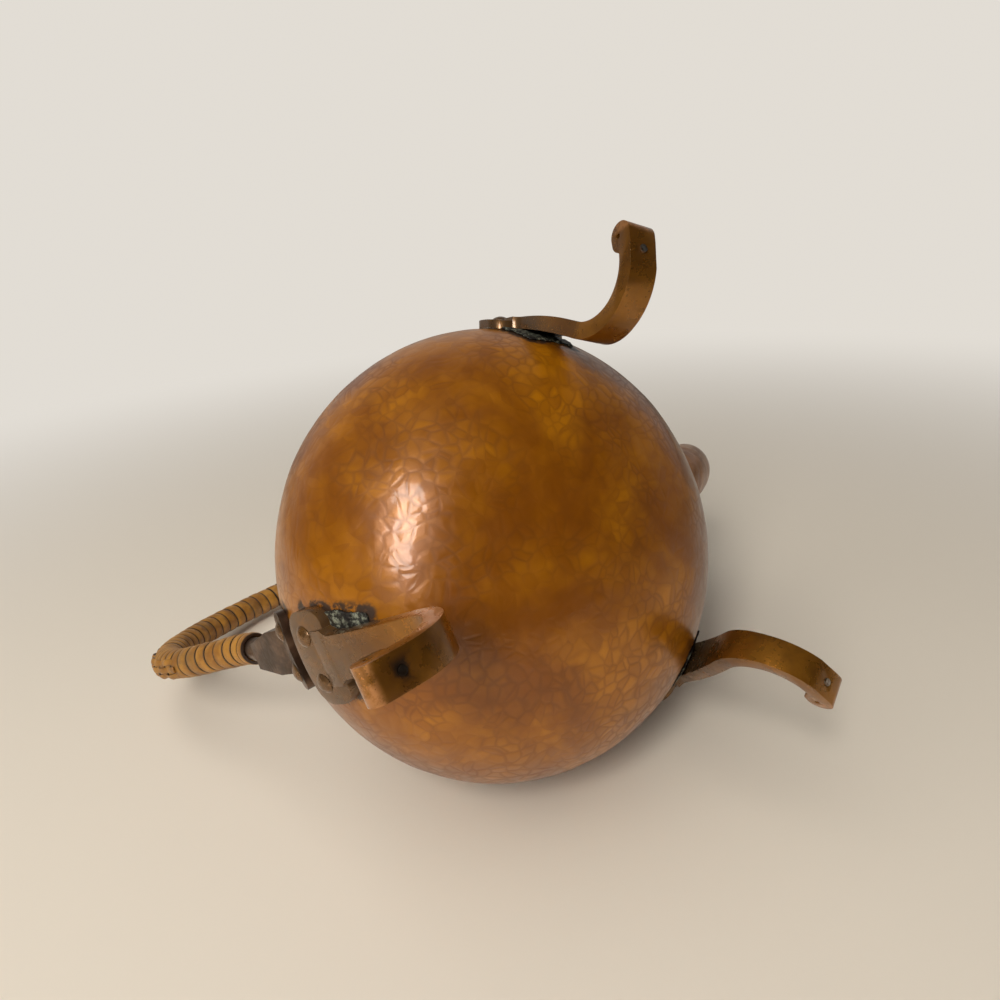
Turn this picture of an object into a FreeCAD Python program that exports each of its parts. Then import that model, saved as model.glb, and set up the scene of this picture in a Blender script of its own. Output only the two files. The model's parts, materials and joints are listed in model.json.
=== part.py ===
import FreeCAD, Part
import math
import os
import re
import Sketcher

# A hammered copper tea kettle on three strap legs, with a hinged lid and a cane-wrapped bow.
# Millimetres. Z is up, the spout points along +X, and the feet stand on Z = 0.

driving_sizes = {
    # the raised ball, measured up and down from its widest circle
    "body_radius": 85, "equator_height": 86, "belly_depth": 61, "belly_side_radius": 57,
    "shoulder_height": 78, "shoulder_side_radius": 66, "wall": 1.2,
    # the collar round the mouth
    "mouth_radius": 36, "collar_wall": 1.4, "collar_height": 11, "collar_tail": 4, "rim_bead": 1.8,
    "collar_foot": 4.2, "collar_cove": 5, "solder_gap": 0.05,
    # the legs: a T-shaped head on the ball, a strap, a knee, a foot and a rolled toe
    "leg_rear_bearing": 178.5, "leg_left_bearing": 57.5, "leg_right_bearing": -66,
    "leg_rear_lean": 2.2, "leg_left_lean": 0, "leg_right_lean": 0,
    "leg_plate": 3.0, "leg_head_width": 32, "leg_head_top": 7.5, "leg_head_low": 24.5,
    "leg_head_corner": 6, "leg_neck_width": 14.5, "leg_neck_fillet": 4, "leg_root_gap": 1.6,
    "strap_thickness": 5.6, "toe_width": 10.2, "strap_lean": 28, "knee_radius": 17.6,
    "knee_inset": 1, "foot_rise": 4, "foot_length": 10.2, "toe_roll_radius": 4.3,
    "toe_tongue": 5.5, "toe_eye": 0.8, "foot_wear": 0.3,
    # rivets
    "rivet_shank": 1.9, "rivet_head": 3.5, "rivet_dome": 1.5, "rivet_burr": 3.0, "burr_height": 0.9,
    "rivet_gap": 0.05, "leg_rivet_drop": 13.9, "leg_rivet_spacing": 15.6,
    # the grey fillets of solder
    "solder_skin": 0.7, "solder_spread": 2.2, "solder_tail": 12,
    # the pins left in the feet
    "toe_pin_radius": 1.25, "toe_pin_length": 3, "toe_pin_proud": 0.25, "toe_pin_inset": 5.5,
    # the bow handle: the copper rod under the cane and its route, which ends on the front plate
    "rod_radius": 4.3, "bow_standoff": 4, "bow_start": 30, "rear_rise": 14, "rear_bend": 35,
    "rear_turn": 28, "rear_reach": 22, "back_bend": 70, "back_turn": 90,
    "top_turn": 43, "front_bend": 66, "front_turn": 67,
    "flare_bend": 16, "flare_turn": 34, "front_end_out": 4.18, "front_end_up": 2.31,
    "bow_lean": 1, "bow_lean_rise": 20,
    # the fishtail plates at the two ends of the bow
    "tail_plate": 2.8, "tail_width": 28, "tail_low": 1.5, "tail_high": 14, "tail_corner": 4,
    "tail_fillet": 4, "tail_waist": 16, "tail_neck": 9.4, "tail_neck_gap": 0.5, "tail_rivet_rise": 5.5,
    "tail_rivet_spacing": 14.6, "front_tail_below": 5.9, "front_tail_above": 7.1,
    "front_neck_above": 25.1, "front_neck_inset": 6.1, "front_rivet_spacing": 17,
    "front_rivet_inset": 21.86,
    # the cane: a wrap round the rod and lengthwise strands over its outer side
    "cane_thickness": 1.9, "cane_gap": 0.05, "bare_rear": 12, "bare_front": 18,
    "runner_thickness": 1.1, "runner_width": 8, "runner_before": 20, "runner_after": 34,
    # the spout: a horn that rises as it leaves the ball
    "spout_bearing": 4, "spout_start": 55.5, "spout_height": 2, "spout_bend": 125,
    "spout_rise": 48, "spout_root": 20, "spout_lip": 12.5, "spout_wall": 1.2,
    "lip_slant": 22, "lip_setback": 7, "spout_solder_size": 3.2,
    # the lid
    "lid_radius": 39.6, "lid_wall": 1.2, "lid_crown": 12, "lid_flange": 5.4, "lid_gap": 0.1,
    "bezel_clearance": 0.6, "bezel_wall": 1.1, "bezel_depth": 7,
    # the turned knob and what holds it
    "ferrule_radius": 8, "ferrule_top": 6.2, "ferrule_height": 3, "knob_foot": 5.4,
    "knob_waist": 4.2, "knob_waist_height": 5, "knob_radius": 12, "knob_belly": 15,
    "knob_height": 24, "screw_radius": 1.6, "screw_depth": 12, "screw_gap": 0.05,
    "screw_head": 3.6, "screw_head_height": 1.8, "screw_slot": 0.8, "washer_radius": 6.5,
    "washer_thickness": 1.0,
    # the hinge
    "hinge_standoff": 4, "hinge_rise": 0.9, "barrel_radius": 2.4, "barrel_length": 22,
    "knuckle_length": 8, "knuckle_gap": 0.2, "pin_radius": 1.0, "pin_running_gap": 0.06,
    "pin_head": 1.7, "pin_head_height": 0.8, "leaf_thickness": 1.5, "leaf_width": 24,
    "leaf_foot": 13, "leaf_rivet_spacing": 14, "leaf_rivet_out": 8.78, "lid_leaf_width": 15,
    "lid_leaf_reach": 21, "lid_rivet_spacing": 8, "lid_rivet_angle": 28, "small_head": 2.4,
    "small_shank": 1.2, "small_dome": 0.9,
}

doc = FreeCAD.newDocument("tea_kettle")
sheet = doc.addObject("Spreadsheet::Sheet", "sizes")
for row, (alias, size) in enumerate(driving_sizes.items(), 1):
    sheet.set(f"A{row}", alias)
    sheet.set(f"B{row}", str(size))
    sheet.setAlias(f"B{row}", alias)
doc.recompute()

sub_parts = {}


def bound(text):
    """A formula with each named size pointed at its cell."""
    return re.sub(r"[a-z][a-z_]*", lambda word: f"sizes.{word.group()}"
                  if word.group() in driving_sizes else word.group(), str(text))


def value(text):
    return float(sheet.evalExpression(bound(text)))


def bind(item, prop, text):
    item.setExpression(prop, bound(text))


def shift(x, y, z):
    return f"placement(vector({x}; {y}; {z}); rotation(vector(0; 0; 1); 0))"


def spin(axis, angle):
    return f"placement(vector(0; 0; 0); rotation(vector({axis}); {angle}))"


about_y = "0; 1; 0"
about_z = "0; 0; 1"
about_x = "1; 0; 0"


def arcsine(text):
    """An angle as a plain number of degrees."""
    return f"(asin({text}) / (1 deg))"


def put(item, *moves):
    """Place an object by a chain of shifts and spins, the last one nearest to the object."""
    bind(item, "Placement", " * ".join(moves))
    return item


def node(name, item):
    """Name a finished sub-part."""
    item.Label = name
    sub_parts[name] = item
    return item


# Sketches


def new_body(name):
    return doc.addObject("PartDesign::Body", name)


def new_sketch(body, name, role):
    sketch = body.newObject("Sketcher::SketchObject", name)
    plane = [feature for feature in body.Origin.OriginFeatures if feature.Role == role][0]
    sketch.AttachmentSupport = [(plane, "")]
    sketch.MapMode = "FlatFace"
    return sketch


def constrain(sketch, text, kind, *ends):
    """Add a dimension whose size follows a formula."""
    sketch.addConstraint(Sketcher.Constraint(kind, *ends, value(text)))
    bind(sketch, f"Constraints[{sketch.ConstraintCount - 1}]", text)


def hold_point(sketch, edge, end, x, y):
    """Fix one end of an edge at a place given by two formulas."""
    for kind, text, axis in (("DistanceX", x, -2), ("DistanceY", y, -1)):
        if str(text) == "0":
            sketch.addConstraint(Sketcher.Constraint("PointOnObject", edge, end, axis))
        else:
            constrain(sketch, text, kind, -1, 1, edge, end)


def arc_between(start, end, radius, side):
    """The arc under a half circle from start to end, with its centre on the left for side 1."""
    chord = end - start
    left = FreeCAD.Vector(-chord.y, chord.x, 0).normalize()
    height = math.sqrt(max(radius ** 2 - (chord.Length / 2) ** 2, 0))
    centre = (start + end) * 0.5 + left * (side * height)
    angles = [math.atan2(p.y - centre.y, p.x - centre.x) for p in (start, end)]
    if side < 0:
        angles.reverse()
    circle = Part.Circle(centre, FreeCAD.Vector(0, 0, 1), radius)
    return Part.ArcOfCircle(circle, angles[0], angles[1])


def outline(sketch, corners):
    """A closed loop. Each corner is (x, y), then for an arc to the next one its radius and side."""
    places = [FreeCAD.Vector(value(corner[0]), value(corner[1])) for corner in corners]
    first = sketch.GeometryCount
    ends = []
    for index, corner in enumerate(corners):
        start, end = places[index], places[(index + 1) % len(places)]
        if len(corner) > 2:
            edge = sketch.addGeometry(arc_between(start, end, value(corner[2]), corner[3]), False)
            ends.append((1, 2) if corner[3] > 0 else (2, 1))
        else:
            edge = sketch.addGeometry(Part.LineSegment(start, end), False)
            ends.append((1, 2))
    for index in range(len(corners)):
        after = (index + 1) % len(corners)
        sketch.addConstraint(Sketcher.Constraint(
            "Coincident", first + index, ends[index][1], first + after, ends[after][0]))
    for index, corner in enumerate(corners):
        hold_point(sketch, first + index, ends[index][0], corner[0], corner[1])
        if len(corner) > 2:
            constrain(sketch, corner[2], "Radius", first + index)


def circle(sketch, x, y, radius):
    place = FreeCAD.Vector(value(x), value(y))
    edge = sketch.addGeometry(Part.Circle(place, FreeCAD.Vector(0, 0, 1), value(radius)), False)
    hold_point(sketch, edge, 3, x, y)
    constrain(sketch, radius, "Radius", edge)


def mirrored(corners):
    """The corners on the right of the middle line, then the same ones on the left."""
    left = []
    for index in range(len(corners) - 1, -1, -1):
        bend = corners[index - 1][2:] if index else ()
        left.append((f"-({corners[index][0]})", corners[index][1], *bend))
    return [*corners, *left]


def turned(name, corners, role="XZ_Plane", axis="V_Axis"):
    """A solid of revolution."""
    body = new_body(name)
    sketch = new_sketch(body, name + "_outline", role)
    outline(sketch, corners)
    doc.recompute()
    revolution = body.newObject("PartDesign::Revolution", name + "_turning")
    revolution.Profile = sketch
    revolution.ReferenceAxis = (sketch, [axis])
    revolution.Angle = 360
    return body


def slab(name, corners, role, thickness, both_ways=True, hole=None):
    """A flat outline given a thickness, on both sides of its plane or on one."""
    body = new_body(name)
    sketch = new_sketch(body, name + "_outline", role)
    outline(sketch, corners)
    if hole:
        circle(sketch, *hole)
    pad = body.newObject("PartDesign::Pad", name + "_pad")
    pad.Profile = sketch
    pad.SideType = "Symmetric" if both_ways else "One side"
    bind(pad, "Length", thickness)
    return body


# Primitives and booleans


def primitive(kind, name, placed, **sizes):
    item = doc.addObject(f"Part::{kind}", name)
    for prop, text in sizes.items():
        bind(item, prop, text)
    return put(item, *placed)


def cut(name, base, tool):
    item = doc.addObject("Part::Cut", name)
    item.Base = base
    item.Tool = tool
    return item


def common(name, *shapes):
    item = doc.addObject("Part::MultiCommon", name)
    item.Shapes = list(shapes)
    return item


def fuse(name, *shapes):
    item = doc.addObject("Part::MultiFuse", name)
    item.Shapes = list(shapes)
    item.Refine = True
    return item


def group(name, *shapes):
    item = doc.addObject("Part::Compound", name)
    item.Links = list(shapes)
    return item


# The ball. Its side and belly below the widest circle are two tangent arcs, and so are its
# side and shoulder above.

belly_radius = ("((2 * body_radius * belly_side_radius - body_radius ^ 2 - belly_depth ^ 2)"
                " / (2 * (belly_side_radius - belly_depth)))")
shoulder_radius = ("((2 * body_radius * shoulder_side_radius - body_radius ^ 2 - shoulder_height ^ 2)"
                   " / (2 * (shoulder_side_radius - shoulder_height)))")
belly_side_centre = "(body_radius - belly_side_radius)"
shoulder_side_centre = "(body_radius - shoulder_side_radius)"
belly_centre = f"(equator_height - belly_depth + {belly_radius})"
shoulder_centre = f"(equator_height + shoulder_height - {shoulder_radius})"
collar_outside = "(mouth_radius + collar_wall)"


def shoulder_z(r):
    """Height of the ball's outside at a radius on its shoulder."""
    return f"({shoulder_centre} + sqrt({shoulder_radius} ^ 2 - ({r}) ^ 2))"


def ball(name, offset):
    """The whole ball as a solid, its surface moved outwards by offset."""
    belly = f"({belly_radius} + {offset}) / ({belly_radius} - belly_side_radius)"
    shoulder = f"({shoulder_radius} + {offset}) / ({shoulder_radius} - shoulder_side_radius)"
    return turned(name, [
        ("0", f"equator_height - belly_depth - ({offset})", f"{belly_radius} + {offset}", 1),
        (f"{belly_side_centre} * {belly}",
         f"{belly_centre} - ({belly_radius} - belly_depth) * {belly}",
         f"belly_side_radius + {offset}", 1),
        (f"body_radius + {offset}", "equator_height", f"shoulder_side_radius + {offset}", 1),
        (f"{shoulder_side_centre} * {shoulder}",
         f"{shoulder_centre} + ({shoulder_radius} - shoulder_height) * {shoulder}",
         f"{shoulder_radius} + {offset}", 1),
        ("0", f"equator_height + shoulder_height + {offset}"),
    ])


ball_outside = ball("ball_outside", "0")
ball_inside = ball("ball_inside", "(-wall)")
solder_surface = ball("solder_surface", "solder_skin")


# Rivets. Each stands square to the ball, at a bearing round the kettle and an angle above the
# widest circle, on one of the ball's arcs.

belly_seat = {"out": belly_side_centre, "height": "equator_height", "radius": "belly_side_radius"}
side_seat = {"out": shoulder_side_centre, "height": "equator_height",
             "radius": "shoulder_side_radius"}


def upper_seat(reach):
    """The arc of the ball's upper half at a distance from its axis, and the angle on that arc."""
    on_side = (f"{reach} > {shoulder_side_centre} * {shoulder_radius}"
               f" / ({shoulder_radius} - shoulder_side_radius)")
    out = f"(({on_side}) ? {shoulder_side_centre} : (0 * wall))"
    radius = f"(({on_side}) ? shoulder_side_radius : {shoulder_radius})"
    angle = f"(acos(({reach} - {out}) / {radius}) / (1 deg))"
    height = f"(({on_side}) ? equator_height : {shoulder_centre})"
    return {"out": out, "height": height, "radius": radius}, angle


def on_ball(seat, bearing, angle):
    """Moves that put the X axis square to the ball, with its origin at the arc's centre."""
    return (spin(about_z, bearing), shift(seat["out"], 0, seat["height"]),
            spin(about_y, f"-({angle})"))


def spread(seat, angle, spacing, side):
    """Half of a spacing along the ball, as a bearing."""
    reach = f"({seat['out']} + {seat['radius']} * cos({angle}))"
    return f"{side} * {arcsine(f'{spacing} / 2 / {reach}')}"


def rivet(name, moves, inner, outer, head="rivet_head", shank="rivet_shank", dome="rivet_dome",
          burr="rivet_burr"):
    """A rivet along X, burred over at inner and headed at outer."""
    dome_radius = f"(({head} ^ 2 + {dome} ^ 2) / (2 * {dome}))"
    return put(turned(name, [
        (f"{inner} - rivet_gap - burr_height", "0"),
        (f"{inner} - rivet_gap - burr_height / 2", f"{burr}"),
        (f"{inner} - rivet_gap * 2", f"{burr}"),
        (f"{inner} - rivet_gap * 2", shank),
        (f"{outer} + rivet_gap", shank),
        (f"{outer} + rivet_gap", head, dome_radius, -1),
        (f"{outer} + rivet_gap + {dome}", "0"),
    ], "XY_Plane", "H_Axis"), *moves)


def rivet_hole(name, moves, start, length, shank="rivet_shank"):
    return primitive("Cylinder", name, (*moves, shift(start, 0, 0), spin(about_y, 90)),
                     Radius=f"{shank} + rivet_gap", Height=length)


wall_holes = []


def rivet_pair(name, seat, bearing, angle, spacing, plate, **form):
    """Two rivets side by side through the ball and a plate of the given thickness."""
    rivets, holes = [], []
    for side, hand in ((1, "a"), (-1, "b")):
        turn = f"{bearing} + {spread(seat, angle, spacing, side)}"
        moves = on_ball(seat, turn, angle)
        inner, outer = f"({seat['radius']} - wall)", f"({seat['radius']} + {plate})"
        rivets.append(rivet(f"{name}_{hand}", moves, inner, outer, **form))
        shank = form.get("shank", "rivet_shank")
        holes.append(rivet_hole(f"{name}_hole_{hand}", moves, f"{inner} - wall",
                                f"{plate} + 3 * wall + leg_plate", shank))
    wall_holes.extend(holes)
    node(name, group(name, *rivets))
    return holes


# The legs. A slab with the strap's side outline and a band of the T-head's thickness are cut
# to the outline that the leg has seen from its front.

knee_x = "(body_radius - knee_inset)"
knee_z = "(strap_thickness / 2 + knee_radius - foot_wear)"
root_drop = "(leg_rivet_drop + rivet_head + leg_root_gap)"


def on_knee(radius, angle):
    """A point at a radius from the knee's centre, angle up from the horizontal, towards the ball."""
    return f"{knee_x} - ({radius}) * cos({angle})", f"{knee_z} + ({radius}) * sin({angle})"


def on_foot(along, up):
    """A point along the foot from the knee and up from its underside."""
    heel_x, heel_z = on_knee("knee_radius + strap_thickness / 2", "-90 - foot_rise")
    return (f"{heel_x} + ({along}) * cos(foot_rise) - ({up}) * sin(foot_rise)",
            f"{heel_z} + ({along}) * sin(foot_rise) + ({up}) * cos(foot_rise)")


def root_point(offset):
    """Where the strap runs into the T-head, that far out from the ball."""
    reach = f"(belly_side_radius + {offset})"
    return (f"({belly_side_centre} + sqrt({reach} ^ 2 - {root_drop} ^ 2))",
            f"(equator_height - {root_drop})")


def blend_radius(start, end, normal):
    """Radius of the arc from start that meets end square to the normal there."""
    dx, dz = f"({end[0]} - ({start[0]}))", f"({end[1]} - ({start[1]}))"
    return f"(({dx} ^ 2 + {dz} ^ 2) / (2 * ({dx} * {normal[0]} + {dz} * {normal[1]})))"


half_strap = "strap_thickness / 2"
outward = ("cos(strap_lean)", "(-sin(strap_lean))")
outer_root, inner_root = root_point("leg_plate"), root_point("(-wall / 2)")
outer_knee = on_knee(f"knee_radius - {half_strap}", "strap_lean")
inner_knee = on_knee(f"knee_radius + {half_strap}", "strap_lean")
roll_start = "foot_length - toe_roll_radius"
strap_side = [
    (*outer_root, blend_radius(outer_root, outer_knee, outward), -1),
    (*outer_knee, f"knee_radius - {half_strap}", 1),
    on_foot("0", "strap_thickness"),
    on_foot(f"{roll_start} - toe_tongue", "strap_thickness"),
    (*on_foot(f"{roll_start} - toe_tongue + 0.4", "strap_thickness + 0.8"), "toe_roll_radius", -1),
    on_foot(f"{roll_start} - toe_tongue / 2", "2 * toe_roll_radius - 0.3"),
    (*on_foot(roll_start, "2 * toe_roll_radius"), "toe_roll_radius", -1),
    (*on_foot("foot_length", "toe_roll_radius"), "toe_roll_radius", -1),
    on_foot(roll_start, "0"),
    (*on_foot("0", "0"), f"knee_radius + {half_strap}", -1),
    (*inner_knee, blend_radius(inner_root, inner_knee, outward), 1),
    inner_root,
]
neck_side, toe_side = "leg_neck_width / 2", "toe_width / 2"
head_side = "leg_head_width / 2"
head_top, head_low = "equator_height - leg_head_top", "equator_height - leg_head_low"


def leg_front(lean):
    """The leg seen from its front, with its toe a little to one side."""
    corners = mirrored([
        (f"{head_side} - leg_head_corner", head_top, "leg_head_corner", -1),
        (head_side, f"{head_top} - leg_head_corner"),
        (head_side, f"{head_low} + leg_head_corner", "leg_head_corner", -1),
        (f"{head_side} - leg_head_corner", head_low),
        (f"{neck_side} + leg_neck_fillet", head_low, "leg_neck_fillet", 1),
        (neck_side, f"{head_low} - leg_neck_fillet"),
        (toe_side, "strap_thickness * 2"),
        (toe_side, "0"),
    ])
    middle = len(corners) // 2
    for index in range(middle - 2, middle + 2):
        x, z = corners[index]
        corners[index] = (f"{x} + {lean}", z)
    return corners


plate_surface = ball("leg_plate_surface", "leg_plate")
head_band = common("leg_head_band", plate_surface, primitive(
    "Cylinder", "leg_head_slice", [shift(0, 0, head_low)],
    Radius="2 * body_radius", Height="leg_head_low"))
solder_side = [
    (f"{neck_side} + solder_spread + leg_neck_fillet", f"{head_low} + 2 * solder_spread"),
    (f"{neck_side} + solder_spread + leg_neck_fillet", f"{head_low} - solder_spread"),
    (f"{neck_side} + solder_spread", f"{head_low} - solder_tail"),
]
toe_pins = []
for name in ("leg_rear", "leg_left", "leg_right"):
    bearing = name + "_bearing"
    strap = put(slab(name + "_strap", strap_side, "XZ_Plane", "leg_neck_width + leg_neck_fillet",
                     hole=(*on_foot(roll_start, "toe_roll_radius + 0.9"), "toe_eye")),
                spin(about_z, bearing))
    front = put(slab(name + "_front", leg_front(name + "_lean"), "YZ_Plane", f"2 * {knee_x}", False),
                spin(about_z, bearing))
    stock = common(name + "_stock", fuse(name + "_blank", strap, head_band), front)
    holes = rivet_pair(name + "_rivets", belly_seat, bearing,
                       "-" + arcsine("leg_rivet_drop / belly_side_radius"), "leg_rivet_spacing",
                       "leg_plate")
    pin_x, pin_z = on_foot(f"{roll_start} - toe_pin_inset", "-toe_pin_proud")
    pin_moves = (spin(about_z, bearing), shift(pin_x, name + "_lean", pin_z),
                 spin(about_y, "-foot_rise"))
    toe_pins.append(primitive("Cylinder", name + "_pin", pin_moves, Radius="toe_pin_radius",
                              Height="toe_pin_length"))
    pin_hole = primitive("Cylinder", name + "_pin_hole", pin_moves,
                         Radius="toe_pin_radius + rivet_gap", Height="toe_pin_length + rivet_gap")
    cutters = fuse(name + "_cutters", ball_outside, pin_hole, *holes)
    leg = node(name, cut(name, stock, cutters))
    puddle = put(slab(name + "_puddle", mirrored(solder_side), "YZ_Plane", f"2 * {knee_x}", False),
                 spin(about_z, bearing))
    skin = common(name + "_solder_skin", puddle, solder_surface)
    node(name + "_solder", cut(name + "_solder", skin, fuse(name + "_bare", ball_outside, stock)))
node("toe_pins", group("toe_pins", *toe_pins))


# The bow handle. Its route is a chain of straight runs and tangent arcs in the XZ plane.

bow_x, bow_z = "-(body_radius + bow_standoff)", "(equator_height + bow_start)"
front_reach = "(body_radius - front_rivet_inset)"
front_seat, front_angle = upper_seat(front_reach)
front_plate_z = f"({front_seat['height']} + {front_seat['radius']} * sin({front_angle}))"
leaving_rear = "(90 + rear_turn)"
leaving_back = f"({leaving_rear} - back_turn)"
leaving_top = f"({leaving_back} - top_turn)"
leaving_front = f"({leaving_top} - front_turn)"
leaving_flare = f"({leaving_front} + flare_turn)"
# What the top arc and the run down to the front plate have to span, sideways and upwards.
span_x = (f"({front_reach} + front_end_out - {bow_x}"
          f" - rear_bend * (sin({leaving_rear}) - 1) - rear_reach * cos({leaving_rear})"
          f" - back_bend * (sin({leaving_rear}) - sin({leaving_back}))"
          f" - front_bend * (sin({leaving_top}) - sin({leaving_front}))"
          f" - flare_bend * (sin({leaving_flare}) - sin({leaving_front})))")
span_z = (f"({front_plate_z} + front_end_up - {bow_z} - rear_rise"
          f" + rear_bend * cos({leaving_rear}) - rear_reach * sin({leaving_rear})"
          f" - back_bend * (cos({leaving_back}) - cos({leaving_rear}))"
          f" - front_bend * (cos({leaving_front}) - cos({leaving_top}))"
          f" - flare_bend * (cos({leaving_front}) - cos({leaving_flare})))")
top_x = f"(sin({leaving_back}) - sin({leaving_top}))"
top_z = f"(cos({leaving_top}) - cos({leaving_back}))"
closing = f"({top_x} * sin({leaving_front}) - {top_z} * cos({leaving_front}))"
top_bend = f"(({span_x} * sin({leaving_front}) - {span_z} * cos({leaving_front})) / {closing})"
front_drop = f"(({top_x} * {span_z} - {top_z} * {span_x}) / {closing})"
bow_steps = [
    ("run", "rear_rise"), ("left", "rear_bend", "rear_turn"), ("run", "rear_reach"),
    ("right", "back_bend", "back_turn"), ("right", top_bend, "top_turn"),
    ("right", "front_bend", "front_turn"), ("run", front_drop),
    ("left", "flare_bend", "flare_turn"),
]
lean_z = "(equator_height + bow_lean_rise)"
bow_leant = (shift(0, 0, lean_z), spin("1; 0; 0", "bow_lean"), shift(0, 0, f"-{lean_z}"))


def draw_route(sketch, x, z, steps):
    """Draw runs and arcs end to end, starting upwards. Returns the places of the arcs' centres."""
    foot = (x, z)
    place = FreeCAD.Vector(value(x), value(z))
    heading, last, centres = "90", None, []
    for kind, length, *turn in steps:
        length = f"({length})"
        side = -1 if kind == "right" else 1
        if kind == "run":
            x, z = f"{x} + {length} * cos({heading})", f"{z} + {length} * sin({heading})"
        else:
            centres.append((f"({x} - {side} * {length} * sin({heading}))",
                            f"({z} + {side} * {length} * cos({heading}))"))
            heading = f"{heading} + {side} * {turn[0]}"
            x = f"{centres[-1][0]} + {side} * {length} * sin({heading})"
            z = f"{centres[-1][1]} - {side} * {length} * cos({heading})"
        end = FreeCAD.Vector(value(x), value(z))
        if kind == "run":
            edge = sketch.addGeometry(Part.LineSegment(place, end), False)
        else:
            edge = sketch.addGeometry(arc_between(place, end, value(length), side), False)
            constrain(sketch, length, "Radius", edge)
        start_tip, end_tip = (1, 2) if side > 0 else (2, 1)
        if last:
            sketch.addConstraint(Sketcher.Constraint("Coincident", *last, edge, start_tip))
        else:
            hold_point(sketch, edge, start_tip, *foot)
        hold_point(sketch, edge, end_tip, x, z)
        last = (edge, end_tip)
        place = end
    return centres


def swept_bow(name, foot_z, steps, *radii):
    """A round bar or a tube along the bow's route, and the centres of the route's arcs."""
    body = new_body(name)
    route = new_sketch(body, name + "_route", "XZ_Plane")
    centres = draw_route(route, bow_x, foot_z, steps)
    section = new_sketch(body, name + "_section", "XY_Plane")
    bind(section, "AttachmentOffset.Base.z", foot_z)
    for radius in radii:
        circle(section, bow_x, "0", radius)
    doc.recompute()
    pipe = body.newObject("PartDesign::AdditivePipe", name + "_sweep")
    pipe.Profile = section
    pipe.Spine = (route, [])
    return put(body, *bow_leant), centres


rod, bow_centres = swept_bow("bow_rod", bow_z, bow_steps, "rod_radius")

# A fishtail at each end: the side outline of the flattened neck and a band on the ball, both cut
# to the outline of the neck and its plate.
tail_surface = ball("tail_plate_surface", "tail_plate")


def fishtail(name, side, front, band_low, band_high):
    neck = slab(name + "_neck", side, "XZ_Plane", "tail_waist")
    band = common(name + "_band", tail_surface, primitive(
        "Cylinder", name + "_slice", [shift(0, 0, band_low)],
        Radius="2 * body_radius", Height=f"{band_high} - ({band_low})"))
    mask = slab(name + "_mask", front, "YZ_Plane", "2 * body_radius", False)
    if "rear" in name:
        put(mask, spin(about_z, 180))
    return common(name, fuse(name + "_blank", neck, band), mask)


def tail_front(low, high, neck_top, corner="tail_corner"):
    """The plate and neck seen from in front: a bar with rounded ends and a waist above it."""
    side, waist, neck = "tail_width / 2", "tail_waist / 2", "tail_neck / 2"
    return mirrored([
        (neck, neck_top),
        (waist, f"{high} + tail_fillet"),
        (f"{waist} + tail_fillet", high),
        (f"{side} - {corner}", high, corner, -1),
        (side, f"{high} - {corner}"),
        (side, f"{low} + {corner}", corner, -1),
        (f"{side} - {corner}", low),
    ])


rear_low, rear_high = "(equator_height + tail_low)", "(equator_height + tail_high)"
neck_foot = "(tail_rivet_rise + rivet_head + tail_neck_gap)"
rear_side = [
    (f"-({shoulder_side_centre} + sqrt((shoulder_side_radius + tail_plate) ^ 2"
     f" - {neck_foot} ^ 2))", f"equator_height + {neck_foot}"),
    (f"{bow_x} - rod_radius", bow_z),
    (f"{bow_x} + rod_radius", bow_z),
    ("-(body_radius - 2 * wall)", rear_high),
    ("-(body_radius - 2 * wall)", rear_low),
]
rear_tail = fishtail("rear_tail", rear_side, tail_front(rear_low, rear_high, bow_z),
                     rear_low, rear_high)
front_low = f"({front_plate_z} - front_tail_below)"
front_high = f"({front_plate_z} + front_tail_above)"
front_top = f"({front_plate_z} + front_neck_above)"
front_neck_x = f"({front_reach} - front_neck_inset)"
front_plate_top = f"({front_reach} - rivet_head)"
front_tail = fishtail("front_tail", [
    (front_neck_x, front_top),
    (front_neck_x, f"{front_high} - tail_plate"),
    (f"{front_plate_top} + tail_plate * cos({front_angle})",
     f"{shoulder_z(front_plate_top)} + tail_plate * sin({front_angle})"),
    (f"{front_neck_x} + 2 * rod_radius", front_top),
], tail_front(front_low, front_high, front_top), front_low, front_high)
rear_holes = rivet_pair("handle_rear_rivets", side_seat, "180",
                        arcsine("tail_rivet_rise / shoulder_side_radius"), "tail_rivet_spacing",
                        "tail_plate")
front_holes = rivet_pair("handle_front_rivets", front_seat, "0", front_angle,
                         "front_rivet_spacing", "tail_plate")
node("handle_bow", cut("handle_bow", fuse("bow_blank", rod, rear_tail, front_tail),
                       fuse("bow_cutters", ball_outside, *rear_holes, *front_holes)))

# The cane starts and ends short of the plates.
cane_steps = [("run", "rear_rise - bare_rear"), *bow_steps[1:6],
              ("run", f"{front_drop} - bare_front")]
cane_z = f"{bow_z} + bare_rear"
cane_outside = "(rod_radius + cane_gap + cane_thickness)"
cane, cane_centres = swept_bow("cane_wrap", cane_z, cane_steps, cane_outside,
                               "rod_radius + cane_gap")
node("cane_wrap", cane)
back_x, back_z = cane_centres[1]
runner_placed = (*bow_leant, shift(back_x, 0, back_z), spin(about_y, "-(180 - runner_after)"),
                 spin(about_x, 90))
runner_rings = [primitive("Torus", "cane_runner_" + name, runner_placed, Radius1="back_bend",
                          Radius2=radius, Angle3="runner_before + runner_after")
                for name, radius in (("outside", f"{cane_outside} + cane_gap + runner_thickness"),
                                     ("inside", f"{cane_outside} + cane_gap"))]
runner_band = primitive("Cylinder", "cane_runner_band",
                        (*runner_placed, shift(0, 0, "-runner_width / 2")),
                        Radius="back_bend + 2 * rod_radius + 2 * cane_thickness",
                        Height="runner_width")
runner_core = primitive("Cylinder", "cane_runner_core",
                        (*runner_placed, shift(0, 0, "-runner_width")),
                        Radius="back_bend + rod_radius", Height="2 * runner_width")
node("cane_runner", cut("cane_runner", common("cane_runner_strip", cut(
    "cane_runner_skin", *runner_rings), runner_band), runner_core))


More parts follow.
